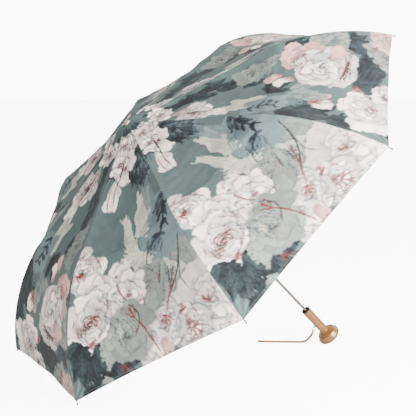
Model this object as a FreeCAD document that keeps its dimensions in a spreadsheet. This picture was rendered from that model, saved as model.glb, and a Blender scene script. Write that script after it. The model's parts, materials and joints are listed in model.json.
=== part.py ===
import FreeCAD, Part
import Sketcher
import math
import os
import re
from FreeCAD import Placement, Rotation, Vector

# A three-fold pocket umbrella, open and lying on the floor: it rests on the tips of ribs 1 and 2
# and on the rim of the handle's knob.
#
# Three frames are used:
#   lying frame     +Z up, floor at Z 0, the handle towards +X, the crown towards -X
#   umbrella frame  origin at the crown, Z along the shaft away from the handle, X towards the floor
#   member frame    origin at a member's inner pivot, X along the member, Y sideways, Z to the fabric
# Rib k stands at 45 * (k - 1) - 22.5 degrees about the umbrella's Z axis.

RIBS = 8
PITCH = 360.0 / RIBS

SIZES = [
    # joints of one rib, in its own plane: distance from the shaft's axis and height over the crown
    ("pivot_radius", 8.5),
    ("top_slope", 14.0),
    ("middle_slope", 12.5),
    ("outer_slope", 37.38),
    ("fold_angle", 74.5),
    ("top_length", 148.0),
    ("middle_length", 155.0),
    ("outer_chord", 225.7),
    ("outer_bow", 16.0),
    ("strut_reach", 100.0),
    ("strut_drop", 2.9),
    ("pin_rise", 1.5),
    # members
    ("channel_half", 1.8),
    ("channel_wall", 0.4),
    ("channel_depth", 1.3),
    ("bar_half", 1.3),
    ("bar_depth", 1.2),
    ("strut_depth", 1.0),
    ("outer_wire", 1.1),
    ("eye_radius", 1.5),
    ("cheek_radius", 1.9),
    ("pin_radius", 0.5),
    ("pin_hole", 0.56),
    ("ring_hole", 0.66),
    ("tip_bead", 1.8),
    ("lever_in", 10.0),
    ("lever_out", 8.64),
    ("lever_angle", 154.84),
    ("rod_near", 2.0),
    ("rod_far", 2.5),
    ("rod_eye", 1.3),
    ("rod_slot", 3.1),
    ("slot_play", 1.15),
    # shaft
    ("upper_radius", 5.0),
    ("upper_bore", 4.1),
    ("middle_radius", 4.0),
    ("middle_bore", 3.1),
    ("lower_radius", 3.0),
    ("lower_bore", 2.2),
    ("upper_tube_end", 235.0),
    ("middle_tube_top", 205.0),
    ("middle_tube_end", 396.0),
    ("lower_tube_top", 366.0),
    ("lower_tube_end", 602.0),
    ("catch_depth", 90.0),
    # crown and runner
    ("notch_radius", 11.0),
    ("runner_head", 10.8),
    ("runner_sleeve", 7.4),
    ("runner_length", 30.0),
    ("runner_bore", 5.06),
    ("slot_half", 1.6),
    ("slot_floor", 6.7),
    ("head_half", 2.2),
    # canopy
    ("cloth", 0.5),
    ("cap_radius", 6.5),
    ("crown_hole", 3.2),
    # handle
    ("socket_top", 554.0),
    ("socket_bore", 6.0),
    ("sleeve_top", 556.0),
    ("sleeve_end", 612.0),
    ("sleeve_radius", 9.2),
    ("knob_end", 644.0),
    ("knob_radius", 24.2),
    ("knob_shoulder", 20.0),
    ("eye_depth", 597.0),
    ("strap_radius", 2.6),
]

doc = FreeCAD.newDocument("FoldingUmbrella")
sheet = doc.addObject("Spreadsheet::Sheet", "Sizes")
for row, (alias, value) in enumerate(SIZES, 1):
    sheet.set(f"A{row}", alias)
    sheet.set(f"B{row}", str(value))
    sheet.setAlias(f"B{row}", alias)
doc.recompute()
ALIASES = re.compile(r"\b(" + "|".join(alias for alias, _ in SIZES) + r")\b")
X_AXIS = Vector(1, 0, 0)
Y_AXIS = Vector(0, 1, 0)
Z_AXIS = Vector(0, 0, 1)
nodes = {}


def size(alias):
    """The value of one cell of the sheet."""
    return float(sheet.get(alias))


def formula(text):
    """An expression whose cell names point at the sheet."""
    return ALIASES.sub(r"Sizes.\1", str(text))


def turn(axis, degrees):
    return Placement(Vector(), Rotation(axis, degrees))


def move(x=0.0, y=0.0, z=0.0):
    return Placement(Vector(x, y, z), Rotation())


# ---------------------------------------------------------------- solids bound to the sheet


def block(x, y, z):
    """A box between three pairs of formulas."""
    box = doc.addObject("Part::Box", "Block")
    for side, axis, (low, high) in zip(("Length", "Width", "Height"), "xyz", (x, y, z)):
        box.setExpression(side, formula(f"({high}) - ({low})"))
        box.setExpression(f"Placement.Base.{axis}", formula(low))
    return box


def cross_pin(radius, x, y, z):
    """A cylinder along Y at X, Z, between a pair of formulas."""
    rod = doc.addObject("Part::Cylinder", "CrossPin")
    rod.Placement = turn(X_AXIS, -90)
    rod.setExpression("Radius", formula(radius))
    rod.setExpression("Height", formula(f"({y[1]}) - ({y[0]})"))
    for axis, text in zip("xyz", (x, y[0], z)):
        rod.setExpression(f"Placement.Base.{axis}", formula(text))
    return rod


def post(radius, low, high):
    """A cylinder along Z about the origin."""
    rod = doc.addObject("Part::Cylinder", "Post")
    rod.setExpression("Radius", formula(radius))
    rod.setExpression("Height", formula(f"({high}) - ({low})"))
    rod.setExpression("Placement.Base.z", formula(low))
    return rod


def torus(ring, wire):
    hoop = doc.addObject("Part::Torus", "Hoop")
    hoop.setExpression("Radius1", formula(ring))
    hoop.setExpression("Radius2", formula(wire))
    return hoop


def fuse(*solids):
    joined = doc.addObject("Part::MultiFuse", "Joined")
    joined.Shapes = list(solids)
    return joined


def cut(base, *tools):
    result = doc.addObject("Part::Cut", "Shaped")
    result.Base = base
    result.Tool = tools[0] if len(tools) == 1 else fuse(*tools)
    return result


def arm(length, half_width, half_depth, degrees):
    """A bar from the origin, raised by an angle from +X towards +Z."""
    bar = doc.addObject("Part::Box", "Arm")
    bar.setExpression("Length", formula(length))
    bar.setExpression("Width", formula(f"2 * ({half_width})"))
    bar.setExpression("Height", formula(f"2 * ({half_depth})"))
    corner = move(0, -evaluate(half_width), -evaluate(half_depth))
    bar.Placement = turn(Y_AXIS, -degrees).multiply(corner)
    return bar


def evaluate(text):
    """The number that a formula of cell names gives."""
    number = ALIASES.sub(lambda found: repr(size(found.group(1))), str(text))
    return sum(float(term) for term in number.split("+"))


def turned(name, outline):
    """A PartDesign body turned about Z from an outline of (radius, height) formulas."""
    body = doc.addObject("PartDesign::Body", name)
    plane = next(p for p in body.Origin.OriginFeatures if p.Role == "XZ_Plane")
    sketch = body.newObject("Sketcher::SketchObject", name + "_outline")
    sketch.AttachmentSupport = [(plane, "")]
    sketch.MapMode = "FlatFace"
    corners = []
    for radius, height in outline:
        corners.append(Vector(value_of(radius), value_of(height), 0))
    for index, corner in enumerate(corners):
        following = corners[(index + 1) % len(corners)]
        sketch.addGeometry(Part.LineSegment(corner, following), False)
    for index in range(len(corners)):
        following = (index + 1) % len(corners)
        sketch.addConstraint(Sketcher.Constraint("Coincident", index, 2, following, 1))
    for index, (radius, height) in enumerate(outline):
        for kind, text in (("DistanceX", radius), ("DistanceY", height)):
            hold(sketch, kind, index, text)
    spin = body.newObject("PartDesign::Revolution", name + "_turned")
    spin.Profile = sketch
    spin.ReferenceAxis = (sketch, ["V_Axis"])
    spin.Angle = 360
    doc.recompute()
    return body


def hold(sketch, kind, corner, text):
    """Fix one coordinate of an outline's corner, on an axis when it is nought."""
    if abs(value_of(text)) < 1e-9:
        axis = -2 if kind == "DistanceX" else -1
        sketch.addConstraint(Sketcher.Constraint("PointOnObject", corner, 1, axis))
        return
    distance = Sketcher.Constraint(kind, -1, 1, corner, 1, value_of(text))
    index = sketch.addConstraint(distance)
    sketch.setExpression(f"Constraints[{index}]", formula(text))


def value_of(text):
    """The number that a formula with sums and differences of cells gives."""
    return evaluate(str(text).replace("- ", "+ -").replace("+ -", "+-"))


def round_edges(body, name, radius, wanted):
    """Fillet the circular edges of a turned body that have one of the wanted radii."""
    tip = body.Tip
    names = []
    for index, edge in enumerate(tip.Shape.Edges, 1):
        if hasattr(edge.Curve, "Radius") and any(abs(edge.Curve.Radius - w) < 0.01 for w in wanted):
            names.append(f"Edge{index}")
    fillet = body.newObject("PartDesign::Fillet", name)
    fillet.Base = (tip, names)
    fillet.Radius = radius
    doc.recompute()


# ---------------------------------------------------------------- where everything stands


def lying():
    """The lean of the shaft and the height of the crown that put tips and knob on the floor."""
    tip_x, tip_z = rib_points()["tip"]
    reach = tip_x * math.cos(math.radians(PITCH / 2)) - (size("knob_radius") - KNOB_ROUND)
    rise = size("knob_end") - KNOB_ROUND + tip_z
    step = KNOB_ROUND - size("tip_bead")
    lean = math.atan2(reach, rise) - math.asin(step / math.hypot(reach, rise))
    ground = (size("knob_radius") - KNOB_ROUND) * math.cos(lean)
    height = ground + (size("knob_end") - KNOB_ROUND) * math.sin(lean) + KNOB_ROUND
    return lean, height


def along(point, length, lift, degrees):
    """A point of a member frame whose X axis leans by degrees, in the rib's plane."""
    across, up = math.cos(math.radians(degrees)), math.sin(math.radians(degrees))
    return (point[0] + length * across - lift * up, point[1] + length * up + lift * across)


def rib_points():
    """The pivots of one open rib in its plane: (distance from the axis, height over the crown)."""
    notch = (size("pivot_radius"), 0.0)
    strut = along(notch, size("strut_reach"), -size("strut_drop"), -size("top_slope"))
    knee = along(notch, size("top_length"), size("pin_rise"), -size("top_slope"))
    elbow = along(knee, size("middle_length"), -2 * size("pin_rise"), -size("middle_slope"))
    tip = along(elbow, size("outer_chord"), size("pin_rise"), -size("outer_slope"))
    runner = (size("pivot_radius"), 2 * strut[1])
    return {"notch": notch, "strut": strut, "knee": knee, "elbow": elbow, "tip": tip,
            "runner": runner}


def member(k, point, degrees):
    """The placement of a member frame on rib k."""
    azimuth = PITCH * (k - 1) - PITCH / 2
    here = Placement(Vector(point[0], 0, point[1]), Rotation(Y_AXIS, -degrees))
    return turn(Z_AXIS, azimuth).multiply(here)


def keep(name, solid, place):
    """Name a finished sub-part and remember where it stands in the umbrella frame."""
    solid.Label = name
    nodes[name] = (solid, place)


# ---------------------------------------------------------------- ribs, one function per member

INNER = "(channel_half - channel_wall)"


def top_rib(k, point):
    """A channel open underneath, with an eye for the crown ring, ears and a forked end."""
    end = "top_length - 6"
    shell = block((3.6, "top_length"), ("-channel_half", "channel_half"),
                  ("-channel_depth", "channel_depth"))
    hollow = block((2, "top_length + 1"), (f"-{INNER}", INNER),
                   ("-channel_depth - 1", "channel_depth - channel_wall"))
    mouth = block((end, "top_length + 1"), (f"-{INNER}", INNER), ("-3", "3"))
    channel = cut(shell, hollow, mouth)
    eye = cross_pin("eye_radius + 0.1", 0, ("-1.4", "1.4"), 0)
    neck = block((0, 6), ("-1.4", "1.4"), ("-0.9", "0.9"))
    pieces = [channel, eye, neck]
    for low, high in ((INNER, "channel_half"), ("-channel_half", f"-{INNER}")):
        pieces.append(block(("strut_reach - 3.5", "strut_reach + 3.5"), (low, high),
                            ("-strut_drop - 1.4", "-channel_depth + 0.2")))
        pieces.append(block((end, "top_length"), (low, high),
                            ("-channel_depth", "pin_rise + cheek_radius")))
        pieces.append(cross_pin("cheek_radius", "top_length", (low, high), "pin_rise"))
    pieces.append(cross_pin("pin_radius", "strut_reach", ("-channel_half", "channel_half"),
                            "-strut_drop"))
    pieces.append(cross_pin("pin_radius", "top_length", ("-channel_half", "channel_half"),
                            "pin_rise"))
    hole = cross_pin("ring_hole", 0, ("-3", "3"), 0)
    keep(f"top_rib_{k}", cut(fuse(*pieces), hole), member(k, point, -size("top_slope")))


def stretcher(k, point, degrees):
    """The strut from the runner to the top rib, with the pin that drives the connecting rod."""
    reach = repr(math.hypot(size("strut_reach"), size("strut_drop")))
    side = ("-bar_half", "bar_half")
    bar = block((0, reach), side, ("-strut_depth", "strut_depth"))
    eyes = [cross_pin("eye_radius - 0.1", 0, side, 0), cross_pin("eye_radius", reach, side, 0)]
    drive = cross_pin("pin_radius", "lever_in", ("bar_half - 0.3", "rod_far + 0.1"), 0)
    holes = [cross_pin("pin_hole", 0, ("-3", "3"), 0), cross_pin("ring_hole", reach, ("-3", "3"), 0)]
    keep(f"stretcher_{k}", cut(fuse(bar, *eyes, drive), *holes), member(k, point, degrees))


def middle_rib(k, point):
    """A bar hung under its inner pivot, with a lever behind it and a forked outer end."""
    side = ("-bar_half", "bar_half")
    top = "-pin_rise + bar_depth"
    bottom = "-pin_rise - bar_depth"
    lever = -(size("lever_angle") + size("top_slope") - size("middle_slope"))
    heel = along((0, 0), size("lever_out"), 0, lever)
    pieces = [
        block((0, "middle_length - 2.5"), side, (bottom, top)),
        cross_pin("eye_radius", 0, side, 0),
        arm("lever_out", "1.0", "0.8", lever),
        cross_pin("1.2", heel[0], ("-1.0", "1.0"), heel[1]),
        cross_pin("pin_radius", heel[0], ("-1.0", "rod_far + 0.1"), heel[1]),
        block(("middle_length - 10", "middle_length - 2.5"), ("-channel_half", "channel_half"),
              (bottom, top)),
    ]
    for low, high in ((INNER, "channel_half"), ("-channel_half", f"-{INNER}")):
        pieces.append(block(("middle_length - 4", "middle_length"), (low, high),
                            ("-2 * pin_rise - cheek_radius", top)))
        pieces.append(cross_pin("cheek_radius", "middle_length", (low, high), "-2 * pin_rise"))
    pieces.append(cross_pin("pin_radius", "middle_length", ("-channel_half", "channel_half"),
                            "-2 * pin_rise"))
    hole = cross_pin("pin_hole", 0, ("-3", "3"), 0)
    keep(f"middle_rib_{k}", cut(fuse(*pieces), hole), member(k, point, -size("middle_slope")))


def outer_bow():
    """The radius, half angle and centre of the outer rib's arc in its member frame."""
    half = size("outer_chord") / 2
    radius = (half * half + size("outer_bow") ** 2) / (2 * size("outer_bow"))
    centre = size("pin_rise") + size("outer_bow") - radius
    return radius, math.degrees(math.asin(half / radius)), half, centre


def outer_rib(k, point):
    """A sprung wire bent by the cloth, with an eye inside and a bead at its tip."""
    radius, spread, half, centre = outer_bow()
    wire = doc.addObject("Part::Torus", "Wire")
    wire.Radius1 = radius
    wire.setExpression("Radius2", formula("outer_wire"))
    wire.Angle3 = 2 * spread
    wire.Placement = move(half, 0, centre).multiply(turn(X_AXIS, 90)).multiply(
        turn(Z_AXIS, 90 - spread))
    eye = cross_pin("eye_radius", 0, ("-bar_half", "bar_half"), 0)
    bead = doc.addObject("Part::Sphere", "Bead")
    bead.setExpression("Radius", formula("tip_bead"))
    bead.setExpression("Placement.Base.x", formula("outer_chord"))
    bead.setExpression("Placement.Base.z", formula("pin_rise"))
    hole = cross_pin("pin_hole", 0, ("-3", "3"), 0)
    keep(f"outer_rib_{k}", cut(fuse(wire, eye, bead), hole), member(k, point, -size("outer_slope")))


def connecting_rod(k, inner, outer):
    """A flat link from the stretcher's pin to the slotted end on the middle rib's lever."""
    length = repr(math.dist(inner, outer))
    lean = math.degrees(math.atan2(outer[1] - inner[1], outer[0] - inner[0]))
    side = ("rod_near", "rod_far")
    pieces = [block((0, length), side, ("-0.9", "0.9")), cross_pin("rod_eye", 0, side, 0),
              block((f"{length} - rod_slot - 0.8", f"{length} + rod_eye"), side,
                    ("-slot_play - 0.75", "slot_play + 0.75"))]
    holes = [cross_pin("pin_hole", 0, ("1", "4"), 0),
             block((f"{length} - rod_slot", f"{length} + pin_radius + 0.1"), ("1", "4"),
                   ("-slot_play", "slot_play"))]
    keep(f"connecting_rod_{k}", cut(fuse(*pieces), *holes), member(k, inner, lean))


def ribs():
    at = rib_points()
    lean = math.degrees(math.atan2(at["runner"][1] - at["strut"][1],
                                   at["runner"][0] - at["strut"][0]))
    inner = along(at["strut"], size("lever_in"), 0, lean)
    outer = along(at["knee"], size("lever_out"), 0, -size("lever_angle") - size("top_slope"))
    for k in range(1, RIBS + 1):
        top_rib(k, at["notch"])
        stretcher(k, at["strut"], lean)
        middle_rib(k, at["knee"])
        outer_rib(k, at["elbow"])
        connecting_rod(k, inner, outer)


# ---------------------------------------------------------------- crown and runner


def spoke_slots():
    """A slot for each rib through the rim of a head."""
    slots = []
    for k in range(RIBS):
        slot = doc.addObject("Part::Box", "SpokeSlot")
        slot.setExpression("Length", formula("notch_radius + 2 - slot_floor"))
        slot.setExpression("Width", formula("2 * slot_half"))
        slot.setExpression("Height", formula("2 * head_half + 4"))
        corner = move(size("slot_floor"), -size("slot_half"), -size("head_half") - 2)
        slot.Placement = turn(Z_AXIS, PITCH * k - PITCH / 2).multiply(corner)
        slots.append(slot)
    return slots


def crown():
    head = fuse(post("notch_radius", "-head_half", "head_half"), post("cap_radius", "0", "4"))
    notch = cut(head, post("upper_radius", "-5", "1"), torus("pivot_radius", "pin_radius"),
                *spoke_slots())
    keep("top_notch", notch, Placement())
    keep("notch_ring", torus("pivot_radius", "pin_radius"), Placement())
    cap = turned("top_cap", [("0", "0"), ("crown_hole - 0.3", "0"), ("crown_hole - 0.3", "2.6"),
                             ("cap_radius", "2.6"), ("cap_radius - 1.5", "5.2"), ("0", "6.4")])
    keep("top_cap", cap, move(z=4))


def runner(level):
    head = fuse(post("runner_head", "-head_half", "head_half"),
                post("runner_sleeve", "-runner_length", "0"))
    keyway = block(("-6.5", "0"), ("-slot_half", "slot_half"), ("-runner_length - 1", "4"))
    shaped = cut(head, post("runner_bore", "-runner_length - 1", "4"), keyway,
                 torus("pivot_radius", "pin_radius"), *spoke_slots())
    keep("runner", shaped, move(z=level))
    keep("runner_ring", torus("pivot_radius", "pin_radius"), move(z=level))
    catch = doc.addObject("Part::Box", "Catch")
    catch.setExpression("Length", formula("upper_radius - upper_bore + 1"))
    catch.setExpression("Width", formula("2 * slot_half - 1"))
    catch.setExpression("Height", "6")
    keep("runner_catch", catch, move(-size("upper_radius") - 1.05, 0.5 - size("slot_half"),
                                     -size("catch_depth") - 3))


# ---------------------------------------------------------------- shaft


def tube(name, outside, inside, top, end, *openings):
    pipe = cut(post(outside, f"-{end}", f"-{top}"), post(inside, f"-{end} - 1", f"-{top} + 1"),
               *openings)
    keep(name, pipe, Placement())


def button(name, radius, inside, outside, level):
    """A round catch through a tube's wall, its end just below the outside."""
    pin = side_pin(radius, inside, outside, level)
    keep(name, pin, pin.Placement)


def side_pin(radius, inside, outside, level):
    """A cylinder along -X from one distance off the axis to another."""
    rod = doc.addObject("Part::Cylinder", "SidePin")
    rod.setExpression("Radius", formula(radius))
    rod.setExpression("Height", formula(f"({outside}) - ({inside})"))
    rod.Placement = Placement(Vector(-value_of(inside), 0, value_of(level)), Rotation(Y_AXIS, -90))
    return rod


def shaft():
    window = block(("-7", "-3"), ("-1.2", "1.2"), ("-catch_depth - 3.2", "-catch_depth + 3.2"))
    middle_level = "-middle_tube_top - 12"
    lower_level = "-lower_tube_top - 12"
    tube("upper_tube", "upper_radius", "upper_bore", "-1", "upper_tube_end", window,
         side_pin("1.1", "3", "7", middle_level))
    tube("middle_tube", "middle_radius", "middle_bore", "middle_tube_top", "middle_tube_end",
         side_pin("1.1", "2", "7", middle_level), side_pin("1.1", "2", "7", lower_level))
    tube("lower_tube", "lower_radius", "lower_bore", "lower_tube_top", "lower_tube_end",
         side_pin("1.1", "1", "7", lower_level))
    button("middle_tube_catch", "1.0", "middle_bore + 0.1", "middle_radius - 0.15", middle_level)
    button("lower_tube_catch", "1.0", "lower_bore", "lower_radius - 0.2", lower_level)


# ---------------------------------------------------------------- canopy


def canopy_line():
    """The line of the cloth over one rib, from the crown to the corner of the hem."""
    at = rib_points()
    top = -math.tan(math.radians(size("top_slope")))
    line = [(size("crown_hole") + 1, 6.6), (20.0, 3.6)]
    for distance, lift in ((60.0, 4.9), (100.0, 4.5)):
        line.append((distance, (distance - at["notch"][0]) * top + lift))
    line.append((at["knee"][0], at["knee"][1] + 3.5))
    line.append(along(at["knee"], size("middle_length") / 2, 1.9, -size("middle_slope")))
    line.append((at["elbow"][0] - 1, at["elbow"][1] + 4.8))
    radius, spread, half, centre = outer_bow()
    for share in (0.16, 0.33, 0.5, 0.67, 0.83, 0.975):
        angle = math.radians(90 + spread - 2 * spread * share)
        reach = radius + size("outer_wire") + 1.6
        line.append(along(at["elbow"], half + reach * math.cos(angle),
                          centre + reach * math.sin(angle), -size("outer_slope")))
    return line


def octagon(distance, level):
    corners = []
    for k in range(RIBS + 1):
        angle = math.radians(PITCH * k - PITCH / 2)
        corners.append(Vector(distance * math.cos(angle), distance * math.sin(angle), level))
    return Part.makePolygon(corners)


def canopy():
    """The cloth as one thin shell with a crease over each rib and a hole at the crown."""
    line = canopy_line()
    outside = Part.makeLoft([octagon(r, z) for r, z in line], True, True)
    below = [(r, z - size("cloth")) for r, z in line]
    hem = below[-1]
    below.append((hem[0] + 2, hem[1] - 4))
    inside = Part.makeLoft([octagon(r, z) for r, z in below], True, True)
    hole = Part.makeCylinder(size("crown_hole"), 20, Vector(0, 0, 0))
    cloth = doc.addObject("Part::Feature", "Canopy")
    cloth.Shape = outside.cut(inside).cut(hole)
    keep("canopy", cloth, Placement())


# ---------------------------------------------------------------- handle and strap

KNOB_ROUND = 7.0


def handle():
    socket = turned("handle_socket", [
        ("socket_bore", "3"), ("socket_bore", "12"), ("sleeve_radius + 0.3", "12"),
        ("sleeve_radius + 0.3", "10"), ("sleeve_radius - 1.1", "10"),
        ("sleeve_radius - 1.1", "0"), ("lower_radius", "0"), ("lower_radius", "3")])
    keep("handle_socket", socket, move(z=-size("socket_top") - 12))
    deep = "sleeve_end - sleeve_top"
    sleeve = turned("handle_sleeve", [
        ("lower_radius", "2"), ("lower_radius", f"{deep} - 10"),
        ("sleeve_radius - 1.1", f"{deep} - 10"), ("sleeve_radius - 1.1", deep),
        ("sleeve_radius", deep), ("sleeve_radius", "0"), ("0", "0"), ("0", "2")])
    keep("handle_sleeve", sleeve, move(z=-size("sleeve_end")))
    high = "knob_end - sleeve_end"
    knob = turned("handle_knob", [
        ("0", "0"), ("knob_radius", "0"), ("knob_radius - 0.05", "8.5"),
        ("knob_radius - 0.8", "8.7"), ("knob_shoulder", "17.2"), ("sleeve_radius + 0.6", "24.6"),
        ("sleeve_radius + 0.5", "26.6"), ("sleeve_radius", "26.9"), ("sleeve_radius", high),
        ("0", high)])
    round_edges(knob, "knob_rim", KNOB_ROUND, [size("knob_radius")])
    round_edges(knob, "knob_shoulder_edge", 3.5, [size("knob_shoulder")])
    round_edges(knob, "knob_neck", 2.0, [size("sleeve_radius") + 0.6])
    keep("handle_knob", knob, move(z=-size("knob_end")))


def strap_fittings(down):
    """The eye on the sleeve and the ring that hangs through it along the downward direction."""
    hoop = torus("2.2", "0.8")
    hoop.Placement = Placement(Vector(size("sleeve_radius") + 1.8, 0, -size("eye_depth")),
                               Rotation())
    eye = cut(hoop, post("sleeve_radius", "-eye_depth - 5", "-eye_depth + 5"))
    keep("strap_eye", eye, Placement())
    ring = torus(RING, WIRE)
    hang = hoop.Placement.Base + Vector(2.2, 0, 0) + down * (RING - 0.95 - WIRE)
    keep("strap_ring", ring, Placement(hang, Rotation(Z_AXIS, Y_AXIS)))
    return hang + down * RING


RING = 4.1
WIRE = 0.85
CLASP = 7.0

# The strap's route in the lying frame, from the clasp to its far end, with the crown at X 0.
ROUTE = [
    (416.9, 2.4, 26.6),
    (415.2, 6.2, 19.9),
    (413.0, 11.2, 13.0),
    (410.6, 16.2, 6.7),
    (406.2, 20.9, 3.1),
    (398.0, 25.4, 2.6),
    (380.0, 33.9, 2.6),
    (361.0, 42.6, 2.6),
    (341.5, 51.2, 2.6),
    (325.5, 60.0, 2.6),
]


def route_wire(points):
    """Straight runs joined by tangent arcs as large as the shorter run beside them allows."""
    edges = []
    start = points[0]
    for before, here, after in zip(points, points[1:], points[2:]):
        back, ahead = before - here, after - here
        half_turn = (math.pi - back.getAngle(ahead)) / 2
        trim = 0.45 * min(back.Length, ahead.Length)
        bend = trim / math.tan(half_turn)
        print(f"strap bend {bend:.1f} mm, run {back.Length:.1f} mm")
        first = here + back.normalize() * trim
        last = here + ahead.normalize() * trim
        inward = (first + last) * 0.5 - here
        centre = here + inward.normalize() * math.hypot(bend, trim)
        middle = centre + (here - centre).normalize() * bend
        edges.append(Part.LineSegment(start, first).toShape())
        edges.append(Part.Arc(first, middle, last).toShape())
        start = last
    edges.append(Part.LineSegment(start, points[-1]).toShape())
    return Part.Wire(edges)


def rod_between(start, end, radius):
    axis = end - start
    return Part.makeCylinder(radius, axis.Length, start, axis)


def strap(ring_low, to_lying):
    """The strap, its clasp and its end piece, placed in the lying frame."""
    points = [Vector(*point) for point in ROUTE]
    radius = size("strap_radius")
    path = route_wire(points)
    section = Part.Wire(Part.makeCircle(radius, points[0], points[1] - points[0]))
    tube_shape = path.makePipeShell([section], True, False)
    ratio = tube_shape.Volume / (math.pi * radius ** 2 * path.Length)
    print(f"strap length {path.Length:.1f} mm, volume over section times length {ratio:.4f}")
    hang = to_lying.multVec(ring_low)
    axis = (points[0] - hang).normalize()
    ring, place = nodes["strap_ring"]
    clasp = rod_between(hang - axis * 1.5, points[0], radius + 0.5)
    gap = Part.makeTorus(RING, WIRE + 0.1)
    gap.Placement = to_lying.multiply(place)
    end_axis = (points[-1] - points[-2]).normalize()
    shapes = {
        "wrist_strap": tube_shape,
        "strap_clasp": clasp.cut(gap).cut(tube_shape),
        "strap_tip": rod_between(points[-1], points[-1] + end_axis * CLASP, radius),
    }
    for name, shape in shapes.items():
        piece = doc.addObject("Part::Feature", name)
        piece.Shape = shape
        keep(name, piece, None)


def build():
    lean, height = lying()
    axes = Rotation(Vector(-math.sin(lean), 0, -math.cos(lean)), Vector(0, -1, 0),
                    Vector(-math.cos(lean), 0, math.sin(lean)), "ZXY")
    to_lying = Placement(Vector(0, 0, height), axes)
    down = Vector(math.cos(lean), 0, -math.sin(lean))
    ribs()
    crown()
    runner(rib_points()["runner"][1])
    shaft()
    canopy()
    handle()
    strap(strap_fittings(down), to_lying)
    doc.recompute()
    for solid, place in nodes.values():
        if place is not None:
            solid.Placement = to_lying.multiply(place)
    doc.recompute()
    centre_over_origin()
    print(f"lean {math.degrees(lean):.3f} degrees, crown height {height:.3f} mm")


CORD = ("wrist_strap", "strap_clasp", "strap_tip")


def centre_over_origin():
    """Slide everything along X so that the origin is under the middle of the umbrella's box."""
    box = FreeCAD.BoundBox()
    for name, (solid, _) in nodes.items():
        if name not in CORD:
            box.add(solid.Shape.optimalBoundingBox(False, False))
    shift = move(-box.Center.x, -box.Center.y, 0)
    for solid, _ in nodes.values():
        solid.Placement = shift.multiply(solid.Placement)
    doc.recompute()
    print(f"shift {box.Center.x:.3f} {box.Center.y:.3f}, box {box.XLength:.2f} x "
          f"{box.YLength:.2f} x {box.ZLength:.2f}, lowest {box.ZMin:.3f}")


def write():
    for item in doc.Objects:
        if "Invalid" in item.State or "Error" in item.State:
            raise RuntimeError(f"{item.Name} failed: {item.State}")
    for name, (solid, _) in nodes.items():
        if solid.Shape.isNull() or not solid.Shape.isValid() or not solid.Shape.Solids:
            raise RuntimeError(f"{name} has no valid solid")
    for name, (solid, _) in nodes.items():
        solid.Shape.exportStep(os.path.join("parts", f"{name}.step"))
    print(f"{len(nodes)} sub-parts")


os.makedirs("parts", exist_ok=True)
build()
write()
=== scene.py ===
import json
import math

import bmesh
import bpy
import numpy as np
from mathutils import Matrix, Vector


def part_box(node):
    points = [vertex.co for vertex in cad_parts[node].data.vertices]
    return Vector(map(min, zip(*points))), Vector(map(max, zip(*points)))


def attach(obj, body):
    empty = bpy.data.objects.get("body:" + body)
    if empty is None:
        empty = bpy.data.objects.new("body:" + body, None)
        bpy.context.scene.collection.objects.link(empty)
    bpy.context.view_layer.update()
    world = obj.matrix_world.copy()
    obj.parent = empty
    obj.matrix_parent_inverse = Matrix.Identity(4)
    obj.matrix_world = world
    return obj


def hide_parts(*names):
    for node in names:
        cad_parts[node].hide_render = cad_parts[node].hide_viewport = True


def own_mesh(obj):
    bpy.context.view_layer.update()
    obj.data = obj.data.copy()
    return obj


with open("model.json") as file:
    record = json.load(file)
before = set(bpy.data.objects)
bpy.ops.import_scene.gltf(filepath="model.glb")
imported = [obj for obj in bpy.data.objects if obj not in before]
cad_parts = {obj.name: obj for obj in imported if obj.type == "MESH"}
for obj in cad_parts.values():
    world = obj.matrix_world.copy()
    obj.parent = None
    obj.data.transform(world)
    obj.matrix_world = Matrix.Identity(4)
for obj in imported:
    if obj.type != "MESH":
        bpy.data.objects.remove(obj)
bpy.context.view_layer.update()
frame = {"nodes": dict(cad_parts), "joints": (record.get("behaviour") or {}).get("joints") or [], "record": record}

# An open pocket umbrella lying on a floor. The umbrella frame has its origin at the crown's ring
# wire, Z along the shaft away from the handle, X towards the floor and Y sideways.
RIBS = 8
PITCH = math.radians(360 / RIBS)
joints = {joint["name"]: joint for joint in frame["joints"]}
low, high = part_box("notch_ring")
CROWN = np.array((low + high) / 2)
AXIS = -np.array(joints["upper_tube_slide"]["axis"])
AXIS /= np.linalg.norm(AXIS)
DOWNWARD = np.array((-AXIS[2], 0.0, AXIS[0]))
SIDE = np.cross(AXIS, DOWNWARD)
TO_ROW = np.stack([DOWNWARD, SIDE, AXIS], axis=1)


def to_row(points):
    """Points of the umbrella frame, in the row frame."""
    return np.asarray(points) @ TO_ROW.T + CROWN


def in_rib(joint):
    """A rib 1 pivot's distance from the shaft's axis and its height over the crown's ring."""
    local = (np.array(joints[joint]["pos_m"]) - CROWN) @ TO_ROW
    return math.hypot(local[0], local[1]), local[2]


def unit(values):
    """The values, kept between 0 and 1."""
    return np.clip(values, 0, 1)


def link(obj):
    bpy.context.scene.collection.objects.link(obj)
    return obj


# ---------------------------------------------------------------- camera

CAMERA_AT = (-0.8996, -1.8818, 0.5934)
CAMERA_AZIMUTH = -25.965
CAMERA_ELEVATION = 7.933
CAMERA_ROLL = -1.038
LENS_MM = 93.4
SENSOR_MM = 36
FAR_CLIP = 50


def make_camera():
    data = bpy.data.cameras.new("camera")
    data.lens = LENS_MM
    data.sensor_width = SENSOR_MM
    data.clip_end = FAR_CLIP
    camera = link(bpy.data.objects.new("camera", data))
    heading = Matrix.Rotation(math.radians(CAMERA_AZIMUTH), 4, "Z")
    pitch = Matrix.Rotation(math.radians(90 - CAMERA_ELEVATION), 4, "X")
    roll = Matrix.Rotation(math.radians(-CAMERA_ROLL), 4, "Z")
    camera.matrix_world = Matrix.Translation(CAMERA_AT) @ heading @ pitch @ roll
    bpy.context.scene.camera = camera


# ---------------------------------------------------------------- nodes of the materials


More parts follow.
